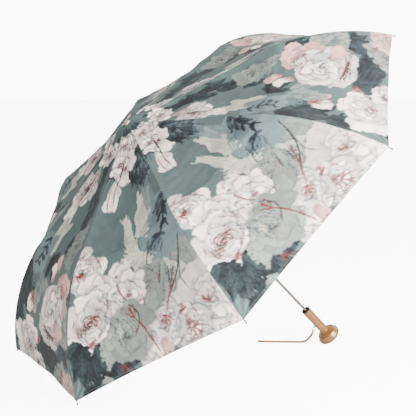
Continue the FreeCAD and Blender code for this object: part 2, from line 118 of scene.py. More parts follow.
class Shader:
    """A material and the few kinds of node that these materials are made of."""

    def __init__(self, name, **sockets):
        self.material = bpy.data.materials.new(name)
        self.material.use_nodes = True
        self.tree = self.material.node_tree
        self.surface = next(n for n in self.tree.nodes if n.type == "BSDF_PRINCIPLED")
        self.finish(**sockets)

    def put(self, socket, value):
        """Link a node's output to a socket, or set the socket's value."""
        if isinstance(value, bpy.types.NodeSocket):
            self.tree.links.new(value, socket)
        elif isinstance(value, tuple) and len(value) == 3 and socket.type == "RGBA":
            socket.default_value = (*value, 1)
        else:
            socket.default_value = value

    def node(self, kind, values=(), **fields):
        node = self.tree.nodes.new(kind)
        for name, value in fields.items():
            setattr(node, name, value)
        for key, value in dict(values).items():
            self.put(node.inputs[key], value)
        return node

    def place(self):
        return self.node("ShaderNodeTexCoord").outputs["Object"]

    def noise(self, scale, detail=3.0, rough=0.5, where=None, stretch=None):
        where = where or self.place()
        if stretch:
            where = self.node("ShaderNodeMapping", {"Vector": where, "Scale": stretch}).outputs[0]
        values = {"Vector": where, "Scale": scale, "Detail": detail, "Roughness": rough}
        return self.node("ShaderNodeTexNoise", values).outputs["Fac"]

    def ramp(self, fac, low, high, start=0.0, end=1.0):
        values = {"Value": fac, "From Min": low, "From Max": high, "To Min": start, "To Max": end}
        return self.node("ShaderNodeMapRange", values).outputs["Result"]

    def math(self, operation, first, second=0.0):
        return self.node("ShaderNodeMath", {0: first, 1: second}, operation=operation).outputs[0]

    def mix(self, fac, first, second):
        node = self.node("ShaderNodeMix", data_type="RGBA")
        for socket, value in ((node.inputs[0], fac), (node.inputs[6], first),
                              (node.inputs[7], second)):
            self.put(socket, value)
        return node.outputs[2]

    def bump(self, height, distance, strength):
        values = {"Height": height, "Distance": distance, "Strength": strength}
        return self.node("ShaderNodeBump", values).outputs["Normal"]

    def finish(self, **sockets):
        """Put values in the surface's sockets, and hand over the material."""
        for name, value in sockets.items():
            self.put(self.surface.inputs[name.replace("_", " ")], value)
        return self.material


GRAIN_DEPTH = 0.00004


def metal(name, colour, rough, metallic=1.0):
    """Drawn or plated metal: fine scratches, a few stains, worn roughness."""
    s = Shader(name, Metallic=metallic)
    grain = s.noise(900, 4, 0.7)
    stain = s.noise(45, 4, 0.6)
    dark = tuple(c * 0.72 for c in colour)
    shade = s.mix(s.ramp(stain, 0.35, 0.7), colour, dark)
    return s.finish(Base_Color=s.mix(s.math("MULTIPLY", grain, 0.25), shade, dark),
                    Roughness=s.ramp(s.math("ADD", grain, stain), 0.6, 1.4, rough, rough + 0.22),
                    Normal=s.bump(grain, GRAIN_DEPTH, 0.6))


def plastic(name, colour, rough):
    """Moulded plastic: a fine grain, slight mottling and rubbed patches."""
    s = Shader(name)
    grain = s.noise(1400, 2, 0.5)
    cloud = s.noise(60, 3, 0.6)
    light = tuple(min(1.0, c * 1.25 + 0.01) for c in colour)
    return s.finish(Base_Color=s.mix(s.ramp(cloud, 0.3, 0.7, 0.0, 0.6), colour, light),
                    Roughness=s.ramp(cloud, 0.3, 0.7, rough, rough + 0.15),
                    Normal=s.bump(grain, GRAIN_DEPTH, 0.5))


def gold_lacquer(name):
    """Champagne lacquer over turned wood: warm, softly glossy, with a faint brushed grain."""
    s = Shader(name, Metallic=0.45, Coat_Weight=0.25, Coat_Roughness=0.2)
    brushed = s.noise(260, 5, 0.65)
    cloud = s.noise(38, 4, 0.6)
    warm, pale = (0.170, 0.070, 0.015), (0.230, 0.103, 0.028)
    colour = s.mix(s.ramp(cloud, 0.32, 0.68), warm, pale)
    flecks = s.ramp(s.noise(1500, 2, 0.5), 0.55, 0.75)
    colour = s.mix(s.math("MULTIPLY", flecks, 0.15), colour, (0.38, 0.21, 0.075))
    return s.finish(Base_Color=colour, Roughness=s.ramp(brushed, 0.3, 0.7, 0.3, 0.42),
                    Normal=s.bump(brushed, 0.00003, 0.4))


def strap_leather(name):
    """Tan leather: pebbled, mottled in colour and in gloss."""
    s = Shader(name, Specular_IOR_Level=0.35)
    pores = s.node("ShaderNodeTexVoronoi", {"Vector": s.place(), "Scale": 1500.0}).outputs[0]
    cloud = s.noise(120, 4, 0.6)
    colour = s.mix(s.ramp(cloud, 0.3, 0.7), (0.145, 0.060, 0.014), (0.185, 0.080, 0.021))
    return s.finish(Base_Color=colour, Roughness=s.ramp(cloud, 0.3, 0.7, 0.5, 0.65),
                    Normal=s.bump(pores, 0.00012, 0.5))


# Each slot's kind of material, with its colour, its roughness and how metallic it is.
FINISHES = {
    "rib_metal": (metal, (0.30, 0.29, 0.28), 0.32),
    "middle_rib_metal": (metal, (0.36, 0.35, 0.33), 0.36),
    "tip_wire": (metal, (0.10, 0.085, 0.08), 0.38, 0.8),
    "shaft_metal": (metal, (0.17, 0.14, 0.125), 0.42),
    "black_plastic": (plastic, (0.006, 0.006, 0.007), 0.45),
    "catch_steel": (metal, (0.4, 0.4, 0.4), 0.25),
    "socket_plastic": (plastic, (0.003, 0.003, 0.0035), 0.4),
    "handle_gold": (gold_lacquer,),
    "gold_trim": (metal, (0.42, 0.21, 0.06), 0.25),
    "crown_cap": (plastic, (0.42, 0.36, 0.26), 0.38),
    "clasp": (plastic, (0.55, 0.40, 0.26), 0.35),
    "strap": (strap_leather,),
    "strap_end": (plastic, (0.03, 0.017, 0.01), 0.55),
}


def dress_frame():
    """Give every CAD node that shows the material of its slot."""
    slots = {row["node"]: row["material_slot"] for row in frame["record"]["subparts"]}
    made = {}
    for name, obj in frame["nodes"].items():
        slot = slots[name]
        if slot not in FINISHES:
            continue
        if slot not in made:
            kind, *values = FINISHES[slot]
            made[slot] = kind(slot + "_finish", *values)
        obj.data.materials.clear()
        obj.data.materials.append(made[slot])
    return made


# ---------------------------------------------------------------- floor and light

# World strength as light and as the camera sees it, and the floor's glow to match.
SKY_LIGHT = 0.88
SKY_SEEN = 11.0
FLOOR_GLOW = 8.5
FLOOR_REACH = 12
# Each lamp's name, place, size and power.
LAMPS = (
    ("key", (0.95, -2.9, 1.35), 1.8, 510),
    ("rim", (2.4, 1.2, 2.4), 2.0, 60),
)
LAMPS_AIM = (0, 0, 0.25)


def floor_white(name):
    """A plain white floor that shows as brightly as the paper behind it."""
    s = Shader(name, Base_Color=(0.93, 0.93, 0.93), Roughness=0.9, Specular_IOR_Level=0.1,
               Emission_Color=(1, 1, 1))
    seen = s.node("ShaderNodeLightPath").outputs["Is Camera Ray"]
    return s.finish(Emission_Strength=s.math("MULTIPLY", seen, FLOOR_GLOW))


def studio():
    """Even pale light all round, seen by the camera as bright white paper."""
    world = bpy.data.worlds.new("studio")
    world.use_nodes = True
    tree = world.node_tree
    seen = tree.nodes.new("ShaderNodeLightPath").outputs["Is Camera Ray"]
    strength = tree.nodes.new("ShaderNodeMapRange")
    strength.inputs["To Min"].default_value = SKY_LIGHT
    strength.inputs["To Max"].default_value = SKY_SEEN
    tree.links.new(seen, strength.inputs["Value"])
    paper = tree.nodes["Background"]
    paper.inputs["Color"].default_value = (1, 1, 1, 1)
    tree.links.new(strength.outputs[0], paper.inputs["Strength"])
    return world


def floor_and_lights():
    """The floor, the pale world and the lamps."""
    mesh = bmesh.new()
    bmesh.ops.create_grid(mesh, x_segments=2, y_segments=2, size=FLOOR_REACH)
    floor = mesh_object("floor", mesh, smooth=False)
    floor.data.materials.append(floor_white("floor_white"))
    bpy.context.scene.world = studio()
    for name, at, size, power in LAMPS:
        data = bpy.data.lights.new(name, "AREA")
        data.size = size
        data.energy = power
        lamp = link(bpy.data.objects.new(name, data))
        lamp.location = at
        aim = Vector(LAMPS_AIM) - Vector(at)
        lamp.rotation_euler = aim.to_track_quat("-Z", "Y").to_euler()


# ---------------------------------------------------------------- strap

# The strap's route in the row frame, from the clasp to the far end on the floor.
ROUTE = [
    (0.26772, 0.0024, 0.0266),
    (0.26602, 0.0062, 0.0199),
    (0.26382, 0.0112, 0.0130),
    (0.26142, 0.0162, 0.0067),
    (0.25702, 0.0209, 0.0031),
    (0.24882, 0.0254, 0.0026),
    (0.23082, 0.0339, 0.0026),
    (0.21182, 0.0426, 0.0026),
    (0.19232, 0.0512, 0.0026),
    (0.17632, 0.0600, 0.0026),
]
STRAP_WIDE = 0.0052
STRAP_THICK = 0.0046
SECTION_STEPS = 24
# Powers under 1 square the section's sides and its top and bottom.
SIDE_POWER = 0.6
TOP_POWER = 0.8
# Where the strap runs more steeply than this, its section is turned by a level direction.
STEEP = 0.2
STEEP_FLAT = (0.9, 0.4, 0)
SPLINE_STEPS = 12


def smooth_line(points):
    """The points of the NURBS spline whose control points are given, as Blender draws it."""
    curve = bpy.data.curves.new("route", "CURVE")
    curve.dimensions = "3D"
    curve.resolution_u = SPLINE_STEPS
    spline = curve.splines.new("NURBS")
    spline.points.add(len(points) - 1)
    for point, place in zip(spline.points, points):
        point.co = (*place, 1)
    spline.order_u = 3
    spline.use_endpoint_u = True
    holder = link(bpy.data.objects.new("route", curve))
    mesh = bpy.data.meshes.new_from_object(holder)
    line = [Vector(v.co) for v in mesh.vertices]
    bpy.data.objects.remove(holder)
    return line


def sweep(name, line, section):
    """A closed tube: the section, given as (sideways, up) offsets, carried along a line."""
    mesh = bmesh.new()
    rings = []
    for index, point in enumerate(line):
        ahead = line[min(index + 1, len(line) - 1)] - line[max(index - 1, 0)]
        sideways = ahead.cross(Vector((0, 0, 1)))
        if sideways.length < STEEP * ahead.length:
            sideways = Vector(STEEP_FLAT).cross(ahead)
        sideways.normalize()
        upward = sideways.cross(ahead).normalized()
        rings.append([mesh.verts.new(point + sideways * a + upward * b) for a, b in section])
    for first, second in zip(rings, rings[1:]):
        for i in range(len(section)):
            j = (i + 1) % len(section)
            mesh.faces.new((first[i], first[j], second[j], second[i]))
    mesh.faces.new(list(reversed(rings[0])))
    mesh.faces.new(rings[-1])
    return mesh_object(name, mesh)


def mesh_object(name, mesh, smooth=True):
    bmesh.ops.recalc_face_normals(mesh, faces=mesh.faces)
    data = bpy.data.meshes.new(name)
    mesh.to_mesh(data)
    mesh.free()
    if smooth:
        data.shade_smooth()
    return link(bpy.data.objects.new(name, data))


def strap_section():
    """A soft flat section with rounded sides."""
    corners = []
    for step in range(SECTION_STEPS):
        angle = math.tau * step / SECTION_STEPS
        c, s = math.cos(angle), math.sin(angle)
        corners.append((math.copysign(abs(c) ** SIDE_POWER, c) * STRAP_WIDE / 2,
                        math.copysign(abs(s) ** TOP_POWER, s) * STRAP_THICK / 2))
    return corners


def make_strap(finishes):
    line = smooth_line(ROUTE)
    strap = sweep("wrist_strap_flat", line, strap_section())
    strap.data.materials.append(finishes["strap"])
    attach(strap, "handle")
    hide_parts("wrist_strap")


# ---------------------------------------------------------------- canopy

GORE_COS = math.cos(PITCH / 2)
GORE_SIN = math.sin(PITCH / 2)
SEGMENTS = ("top", "middle", "outer")
# Which of the two panels each gore is cut from, by the number of its first rib.
GORE_PRINT = {1: 1, 2: 0, 3: 0, 4: 1, 5: 1, 6: 0, 7: 0, 8: 1}
COLUMNS = 84
ROW_STEP = 0.0022
CURVE_POINTS = 1600
PIECE_POINTS = 60
# Canopy vertices this close to a rib's direction are on it, and stations this close are one.
ON_RIB = 0.003
STATION_GAP = 0.002
# The bend at the ribs' elbow: how near to it the cloth runs straight, and how much less steeply
# than the chord it sets off beyond it.
CORNER_REACH = 0.011
CORNER_EASE = 0.93
# Steps over which the cloth's slope is taken, along the rib and as a share across.
NORMAL_ALONG, NORMAL_ACROSS = 0.0004, 0.004
# The cloth's thickness, and how wide and how many layers more its hems and seams are.
CLOTH = 0.00035
HEM_FOLD, HEM_LAYERS = 0.0075, 1.6
SEAM_FOLD, SEAM_LAYERS = 0.0045, 0.9
# How far the hem is cut in between two ribs and held back from the profile's end, and how far
# the cloth's ridges are rounded.
HEM_CUT = 0.003
HEM_BACK = 0.0004
RIDGE_ROUND = 0.0014
# Heights of the cloth's sag between ribs, its waves, its folds below the crown, its long
# creases, the lines at the ribs' joints and the folds from the ribs' tips.
SAG = 0.0095
SLOW_WAVE, QUICK_WAVE = 0.00045, 0.00007
CROWN_FOLD = 0.0004
CREASE = 0.00022
KNEE_LINE, ELBOW_LINE = 0.0005, 0.0009
TIP_FOLD = 0.0011
# The cloth's pale back: its tint, and how much of it is mixed into the print.
BACK_TINT, BACK_SHARE = (0.22, 0.25, 0.245), 0.45
# Thread ties: the rib segment of each and its place along it, and their loop and thread.
TIES = (("middle", 0.5), ("outer", 0.3), ("outer", 0.7))
TIE_LOOP = 0.0022
TIE_THREAD = 0.00028
TIE_TURNS, TIE_SIDES = 20, 6


def curve_through(points, count):
    """A smooth line through points, evenly spaced by length."""
    points = np.array(points)
    padded = np.vstack([2 * points[0] - points[1], points, 2 * points[-1] - points[-2]])
    pieces = []
    for p0, p1, p2, p3 in zip(padded, padded[1:], padded[2:], padded[3:]):
        t = np.linspace(0, 1, PIECE_POINTS, endpoint=False)[:, None]
        pieces.append(0.5 * (2 * p1 + (p2 - p0) * t + (2 * p0 - 5 * p1 + 4 * p2 - p3) * t ** 2
                             + (3 * p1 - p0 - 3 * p2 + p3) * t ** 3))
    fine = np.vstack(pieces + [points[-1:]])
    length = np.concatenate([[0], np.cumsum(np.linalg.norm(np.diff(fine, axis=0), axis=1))])
    even = np.linspace(0, length[-1], count)
    return np.stack([np.interp(even, length, fine[:, i]) for i in (0, 1)], axis=1), even


def rib_stations():
    """The cloth's line over rib 2, from the crown to the hem: distance from the axis and height."""
    canopy = np.array([v.co for v in frame["nodes"]["canopy"].data.vertices])
    local = (canopy - CROWN) @ TO_ROW
    radius = np.hypot(local[:, 0], local[:, 1])
    on_rib = np.abs(np.arctan2(local[:, 1], local[:, 0]) - PITCH / 2) < ON_RIB
    tops = {}
    for r, z in zip(radius[on_rib], local[on_rib, 2]):
        tops[round(r, 4)] = max(z, tops.get(round(r, 4), -9))
    line = sorted(tops.items())
    return [p for p, q in zip(line, line[1:] + [(9, 9)]) if q[0] - p[0] > STATION_GAP]


def crisp(line, near):
    """The line with a point added close to each side of its corner nearest a radius."""
    k = min(range(len(line)), key=lambda i: abs(line[i][0] - near))
    here = np.array(line[k])
    added = []
    for other, share in ((line[k - 1], 1.0), (line[k + 1], CORNER_EASE)):
        way = np.array(other) - here
        way[1] *= share
        added.append(tuple(here + way / np.linalg.norm(way) * CORNER_REACH))
    return line[:k] + [added[0], line[k], added[1]] + line[k + 1:]


class Rib:
    """The cloth's line over a rib, by length from the crown."""

    def __init__(self):
        self.knee = in_rib("middle_rib_1_pivot")
        self.elbow = in_rib("outer_rib_1_pivot")
        self.root = in_rib("canopy_fold")
        stations = crisp(rib_stations(), self.elbow[0])
        points, self.length = curve_through(stations, CURVE_POINTS)
        self.r, self.z = points.T
        self.slope = np.gradient(self.z, self.r)
        self.long = self.length[-1]

    def at(self, s):
        return np.interp(s, self.length, self.r), np.interp(s, self.length, self.z)

    def reach(self, r):
        """The length along the rib at which the cloth is a distance from the axis."""
        return np.interp(r, self.r, self.length)


def half_gore(rib, s, tau):
    """Points of the flat-strung cloth between a rib (tau 0) and its gore's middle (tau 1)."""
    r, z = rib.at(s)
    away = GORE_SIN * r * tau
    drop = np.sqrt(away ** 2 + RIDGE_ROUND ** 2) - away
    x = r - GORE_SIN * away
    y = GORE_COS * away
    tilt = np.interp(s, rib.length, rib.slope)
    lower = GORE_SIN * drop / np.sqrt(1 + tilt ** 2)
    return np.stack([x + tilt * lower, y, z - lower], axis=-1)


def normal_of(surface, s, tau):
    """Unit normals of a surface, out of the umbrella."""
    along = surface(s + NORMAL_ALONG, tau) - surface(s - NORMAL_ALONG, tau)
    low, high = np.clip(tau - NORMAL_ACROSS, 0, None), tau + NORMAL_ACROSS
    across = surface(s, high) - surface(s, low)
    normal = np.cross(along, across)
    return normal / np.maximum(np.linalg.norm(normal, axis=-1, keepdims=True), 1e-12)


def waves(seed, count, spread):
    """Seeded plane waves: waves per metre across and along the cloth, and phases."""
    rng = np.random.default_rng(seed)
    turn = rng.uniform(0, math.tau, count)
    size = rng.uniform(*spread, count)
    return np.cos(turn) / size, np.sin(turn) / size, rng.uniform(0, math.tau, count)


class Gore:
    """One gore's own creases: heights over the strung cloth, by place in the gore."""

    def __init__(self, index, rib):
        self.rib = rib
        self.slow = waves(100 + index, 5, (0.06, 0.14))
        self.quick = waves(200 + index, 7, (0.018, 0.04))
        rng = np.random.default_rng(300 + index)
        self.folds = rng.uniform(0, math.tau, 4)
        self.creases = [(share + rng.uniform(-0.02, 0.02), rng.uniform(0.5, 1.0))
                        for share in (-0.62, -0.31, 0.0, 0.33, 0.64)]
        self.corner = rng.uniform(0, math.tau, 2)

    def height(self, s, side):
        """side runs from -1 at one rib through 0 at the gore's middle to 1 at the other."""
        r = self.rib.at(s)[0]
        tau = 1 - np.abs(side)
        x = side * GORE_SIN * r
        sag = SAG * unit(s / 0.22) ** 1.3 * (1 - 0.55 * unit((s - 0.4) / 0.15))
        total = -sag * (1 - (1 - tau) ** 2)
        held = unit(tau / 0.25)
        held = held * held * (3 - 2 * held)
        for (kx, ks, phase), high in ((self.slow, SLOW_WAVE), (self.quick, QUICK_WAVE)):
            for a, b, p in zip(kx, ks, phase):
                total = total + high * held * np.sin(math.tau * (a * x + b * s) + p)
        near = np.exp(-s / 0.09) * unit(s / 0.03)
        for n, phase in enumerate(self.folds):
            total = total + CROWN_FOLD * near * held * np.sin((9 + 7 * n) * side + phase)
        for share, depth in self.creases:
            ridge = np.exp(-np.abs(side - share) * GORE_SIN * r / 0.0016)
            total = total + CREASE * depth * ridge * held
        for start, depth in ((self.rib.knee[0], KNEE_LINE), (self.rib.elbow[0], ELBOW_LINE)):
            gap = r * (1 - GORE_SIN ** 2 * tau) - start
            total = total + depth * np.exp(-np.abs(gap) / 0.004) * held
        return total + self.corners(s, side)

    def corners(self, s, side):
        """Tension folds that spread over the cloth from each rib's tip."""
        total = 0.0
        for end, phase in zip((-1, 1), self.corner):
            dx = (1 - end * side) * GORE_SIN * self.rib.at(s)[0]
            dy = self.rib.long - s
            away = np.hypot(dx, dy)
            angle = np.arctan2(dx, np.maximum(dy, 1e-5))
            fade = np.exp(-away / 0.055) * unit(away / 0.02) * unit(dx / 0.006)
            total = total + TIP_FOLD * fade * np.sin(11 * angle + phase)
        return total


def make_surface(rib, gore, mirror):
    """The finished cloth of a half gore, as a function of length along the rib and share across."""

    def strung(s, tau):
        return half_gore(rib, s, tau)

    def surface(s, tau):
        up = normal_of(strung, s, tau)
        side = mirror * (1 - tau)
        return strung(s, tau) + up * gore.height(s, side)[..., None]

    return surface


def segment_rows(rib, tau):
    """Where the cloth changes from one rib segment to the next, at each share across."""
    spread = 1 - GORE_SIN ** 2 * tau
    knee = rib.reach(rib.knee[0] / spread)
    elbow = rib.reach(rib.elbow[0] / spread)
    hem = rib.long - HEM_CUT * (1 - (1 - tau) ** 2) - HEM_BACK
    return [np.zeros_like(tau), knee, elbow, hem]


def grid_faces(rows, columns):
    """The quads of a thin closed shell: an outer grid, an inner one after it, and their rim."""
    index = np.arange(rows * columns).reshape(rows, columns)
    a, b, c, d = index[:-1, :-1], index[1:, :-1], index[1:, 1:], index[:-1, 1:]
    outer = np.stack([a, b, c, d], axis=-1).reshape(-1, 4)
    inner = outer[:, ::-1] + rows * columns
    loop = np.concatenate([index[0, :-1], index[:-1, -1], index[-1, :0:-1], index[:0:-1, 0]])
    after = np.roll(loop, -1)
    rim = np.stack([loop, after, after + rows * columns, loop + rows * columns], axis=-1)
    return np.concatenate([outer, inner, rim])


def shell_mesh(name, points, normals, faces):
    mesh = bpy.data.meshes.new(name)
    mesh.vertices.add(len(points))
    mesh.vertices.foreach_set("co", points.ravel())
    mesh.loops.add(faces.size)
    mesh.loops.foreach_set("vertex_index", faces.ravel())
    mesh.polygons.add(len(faces))
    mesh.polygons.foreach_set("loop_start", np.arange(0, faces.size, 4))
    mesh.update(calc_edges=True)
    mesh.shade_smooth()
    mesh.normals_split_custom_set_from_vertices(normals)
    return mesh


def put_attribute(mesh, name, kind, field, values):
    mesh.attributes.new(name, kind, "POINT").data.foreach_set(field, values.ravel())


def sample(panel, x, y):
    """The panel's colour at places on it, in metres."""
    i = np.clip((1000 * y - panel.y[0]) / PANEL_STEP, 0, len(panel.y) - 1.001)
    j = np.clip((1000 * x - panel.x[0]) / PANEL_STEP, 0, len(panel.x) - 1.001)
    i0, j0 = i.astype(int), j.astype(int)
    fi, fj = (i - i0)[..., None], (j - j0)[..., None]
    c = panel.colours
    top = c[i0, j0] * (1 - fj) + c[i0, j0 + 1] * fj
    low = c[i0 + 1, j0] * (1 - fj) + c[i0 + 1, j0 + 1] * fj
    return top * (1 - fi) + low * fi


def fold_axis(rib, segment):
    """In rib 1's own axes: the cloth's direction away from a rib segment, and a point on it."""
    ends = (rib.root, rib.knee, rib.elbow, (rib.r[-1], rib.z[-1]))
    (r0, z0), (r1, z1) = ends[segment], ends[segment + 1]
    along = np.array((r1 - r0, 0, z1 - z0))
    along /= np.linalg.norm(along)
    chord = np.array((-GORE_SIN, GORE_COS, 0))
    across = chord - along * (chord @ along)
    inner, outer = np.searchsorted(rib.r, (r0, r1))
    middle = 0.5 * (rib.length[inner] + rib.length[outer - 1])
    r, z = rib.at(middle)
    return across / np.linalg.norm(across), np.array((r, 0, z))


def out_of_rib(points, number, mirror):
    """Points or directions of rib 1's own axes, on either side of it, at another rib."""
    turn = (number - 1.5) * PITCH
    x, y, z = points[..., 0], points[..., 1] * -mirror, points[..., 2]
    c, s = math.cos(turn), math.sin(turn)
    return np.stack([x * c - y * s, x * s + y * c, z], axis=-1)


def cloth_piece(rib, surface, panel, number, mirror, segment, material):
    """The cloth of half a gore over one rib segment: mirror is -1 on the rib's left side."""
    share = np.linspace(0, 1, COLUMNS + 1)
    starts = segment_rows(rib, share)
    first, last = starts[segment], starts[segment + 1]
    rows = max(4, round((last[0] - first[0]) / ROW_STEP))
    step = np.linspace(0, 1, rows + 1)[:, None]
    s = first * (1 - step) + last * step
    tau = np.broadcast_to(share, s.shape)
    points, normals = surface(s, tau), normal_of(surface, s, tau)
    half = GORE_SIN * rib.at(s)[0]
    across, from_rib, from_hem = mirror * (1 - tau) * half, tau * half, starts[3] - s
    colour = sample(panel, across, s)
    back = colour + (np.array(BACK_TINT) - colour) * BACK_SHARE

    world = to_row(out_of_rib(points, number, mirror)).reshape(-1, 3)
    up = (out_of_rib(normals, number, mirror) @ TO_ROW.T).reshape(-1, 3)
    faces = grid_faces(*s.shape)
    if mirror > 0:
        faces = faces[:, ::-1]
    side = "left" if mirror < 0 else "right"
    name = f"cloth_{SEGMENTS[segment]}_{number}_{side}"
    folded = HEM_LAYERS * (from_hem < HEM_FOLD) + SEAM_LAYERS * (from_rib < SEAM_FOLD)
    thick = CLOTH * (1 + folded).reshape(-1, 1)
    mesh = shell_mesh(name, np.concatenate([world, world - up * thick]),
                      np.concatenate([up, -up]), faces)
    rgba = np.ones((2, colour.shape[0] * colour.shape[1], 4))
    rgba[0, :, :3] = colour.reshape(-1, 3)
    rgba[1, :, :3] = back.reshape(-1, 3)
    put_attribute(mesh, "print", "FLOAT_COLOR", "color", rgba)
    lay = np.stack([across, s, np.zeros_like(s)], axis=-1)
    edge = np.stack([from_rib, from_hem, np.zeros_like(s)], axis=-1)
    put_attribute(mesh, "lay", "FLOAT_VECTOR", "vector", np.stack([lay, lay]))
    put_attribute(mesh, "edge", "FLOAT_VECTOR", "vector", np.stack([edge, edge]))
    mesh.materials.append(material)
    piece = link(bpy.data.objects.new(name, mesh))
    widths = half[:, 0]
    area = float(np.sum((widths[1:] + widths[:-1]) / 2 * np.diff(s[:, 0])))
    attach(piece, f"{SEGMENTS[segment]}_rib_{number}")
    axis, anchor = fold_axis(rib, segment)
    axis = TO_ROW @ out_of_rib(axis, number, mirror)
    anchor = to_row(out_of_rib(anchor, number, mirror))
    tuple(map(float, axis))
    tuple(map(float, anchor))
    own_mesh(piece)
    return piece


def make_canopy(material):
    """Every half gore's three pieces, in place of the plain canopy, and the thread ties."""
    rib = Rib()
    panels = [paint_panel(0), paint_panel(1)]
    pieces = []
    for number in range(1, RIBS + 1):
        for mirror in (-1, 1):
            index = number if mirror < 0 else (number - 2) % RIBS + 1
            surface = make_surface(rib, Gore(index, rib), mirror)
            panel = panels[GORE_PRINT[index]]
            for segment in range(3):
                pieces.append(cloth_piece(rib, surface, panel, number, mirror, segment, material))
    for piece in pieces:
        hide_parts("canopy")
    make_ties(rib, thread("sewing_thread"))


def make_ties(rib, material):
    """Loops of thread that hold the cloth to the middle and outer ribs."""
    starts = [float(s[0]) for s in segment_rows(rib, np.zeros(1))]
    for number in range(1, RIBS + 1):
        for count, (segment, share) in enumerate(TIES, 1):
            k = SEGMENTS.index(segment)
            s = starts[k] + share * (starts[k + 1] - starts[k])
            points, normals, faces = thread_loop(rib, s)
            world = to_row(out_of_rib(points, number, 1))
            outward = out_of_rib(normals, number, 1) @ TO_ROW.T
            mesh = shell_mesh(f"thread_tie_{number}_{count}", world, outward, faces)
            mesh.materials.append(material)
            tie = link(bpy.data.objects.new(mesh.name, mesh))
            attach(tie, f"{segment}_rib_{number}")


def thread_loop(rib, s):
    """A ring of thread about the rib under the cloth, in rib 1's own axes."""
    here = np.array(rib.at(s))
    along = np.array(rib.at(s + 0.001)) - here
    along /= np.linalg.norm(along)
    ahead, up = np.array((along[0], 0, along[1])), np.array((-along[1], 0, along[0]))
    around = (np.arange(TIE_TURNS) * math.tau / TIE_TURNS)[:, None, None]
    about = (np.arange(TIE_SIDES) * math.tau / TIE_SIDES)[None, :, None]
    spoke = np.cos(around) * up + np.sin(around) * np.array((0, 1, 0))
    normals = spoke * np.cos(about) + ahead * np.sin(about)
    centre = np.array((here[0], 0, here[1])) - up * TIE_LOOP
    points = centre + spoke * TIE_LOOP + normals * TIE_THREAD
    index = np.arange(TIE_TURNS * TIE_SIDES).reshape(TIE_TURNS, TIE_SIDES)
    ring = np.stack([index, np.roll(index, -1, axis=0)])
    beside = np.roll(ring, -1, axis=2)
    faces = np.stack([ring[0], ring[1], beside[1], beside[0]], axis=-1)
    return points.reshape(-1, 3), normals.reshape(-1, 3), faces.reshape(-1, 4)


def thread(name):
    """Twisted sewing thread."""
    s = Shader(name, Specular_IOR_Level=0.2, Sheen_Weight=0.2)
    twist = s.node("ShaderNodeTexWave", {"Vector": s.place(), "Scale": 900.0, "Distortion": 2.0},
                   bands_direction="DIAGONAL").outputs["Fac"]
    return s.finish(Base_Color=s.mix(twist, (0.11, 0.13, 0.13), (0.22, 0.25, 0.25)), Roughness=0.7,
                    Normal=s.bump(twist, 0.00008, 0.5))


# In metres: the seam's stitches from the rib and the hem's from the edge, half of a stitch's
# width, and how deep the weave's and the crushed cloth's bumps go.
SEAM_STITCH, HEM_STITCH, STITCH_HALF = 0.0016, 0.0045, 0.0003
CLOTH_BUMP = 0.0002


def cloth_material(name):
    """Printed satin: the print, its weave, satin sheen, seam stitches and puckers, with painted shade darkening
    the seam's groove along each rib.
    """
    s = Shader(name, Sheen_Weight=0.03, Sheen_Roughness=0.4, Specular_IOR_Level=0.10)
    printed, lay, edge = (s.node("ShaderNodeAttribute", attribute_name=label).outputs[output]
                          for label, output in (("print", "Color"), ("lay", "Vector"),
                                                ("edge", "Vector")))
    split = s.node("ShaderNodeSeparateXYZ", {0: edge})
    from_rib, from_hem = split.outputs[0], split.outputs[1]
    along = s.node("ShaderNodeSeparateXYZ", {0: lay}).outputs[1]

    yarn = {"Vector": lay, "Scale": 620.0, "Distortion": 0.6, "Detail": 1.0}
    warp, weft = (s.node("ShaderNodeTexWave", yarn, bands_direction=way).outputs["Fac"]
                  for way in "XY")
    weave = s.math("ADD", warp, weft)
    slub = s.noise(1.0, 3, 0.6, where=lay, stretch=(900.0, 90.0, 1.0))
    cloud = s.noise(14, 4, 0.6, where=lay)

    stitch = band(s, from_rib, SEAM_STITCH, STITCH_HALF)
    dash = s.ramp(s.math("FRACT", s.math("MULTIPLY", along, 380.0)), 0.62, 0.72, 1, 0)
    stitch = s.math("MULTIPLY", stitch, dash)
    # The seam's groove along the rib: a dip in the bump, and painted shade in the colour.
    groove_and_shade = s.ramp(from_rib, 0.0002, 0.0008, 1, 0)
    hem = band(s, from_hem, HEM_STITCH, STITCH_HALF)
    colour = s.mix(s.ramp(slub, 0.25, 0.75, 0.0, 0.06), printed, (0.42, 0.45, 0.45))
    # Painted shade: the cloth is darkened almost to black in the seam's groove beside the rib.
    colour = s.mix(s.math("MULTIPLY", groove_and_shade, 0.55), colour, (0.03, 0.04, 0.04))
    sewn = s.math("MULTIPLY", s.math("MAXIMUM", stitch, hem), 0.35)
    colour = s.mix(sewn, colour, (0.16, 0.19, 0.19))

    pucker = s.math("MULTIPLY", s.math("SINE", s.math("MULTIPLY", along, 1050.0)),
                    s.ramp(s.math("MINIMUM", from_rib, from_hem), 0.001, 0.007, 1, 0))
    height = s.math("ADD", s.math("MULTIPLY", weave, 0.06), s.math("MULTIPLY", pucker, 0.5))
    height = s.math("SUBTRACT", height, s.math("MAXIMUM", groove_and_shade, hem))
    crush = s.noise(55, 4, 0.55, where=lay)
    bumped = s.bump(s.math("ADD", height, s.math("MULTIPLY", crush, 2.2)), CLOTH_BUMP, 0.55)
    return s.finish(Base_Color=colour, Normal=bumped,
                    Roughness=s.ramp(s.math("ADD", cloud, slub), 0.7, 1.3, 0.46, 0.58))


def band(s, value, centre, half):
    """1 where a value is within half of a centre."""
    gap = s.math("ABSOLUTE", s.math("SUBTRACT", value, centre))
    return s.ramp(gap, half * 0.6, half * 1.2, 1, 0)


# ---------------------------------------------------------------- floral print

# Places and sizes on a panel are in millimetres.
PANEL_WIDE = 400
PANEL_LONG = 570
PANEL_STEP = 0.8
STROKE_STEP = 0.6
# A leaf's gap to its outline at places beyond its ends.
OUTSIDE = -9
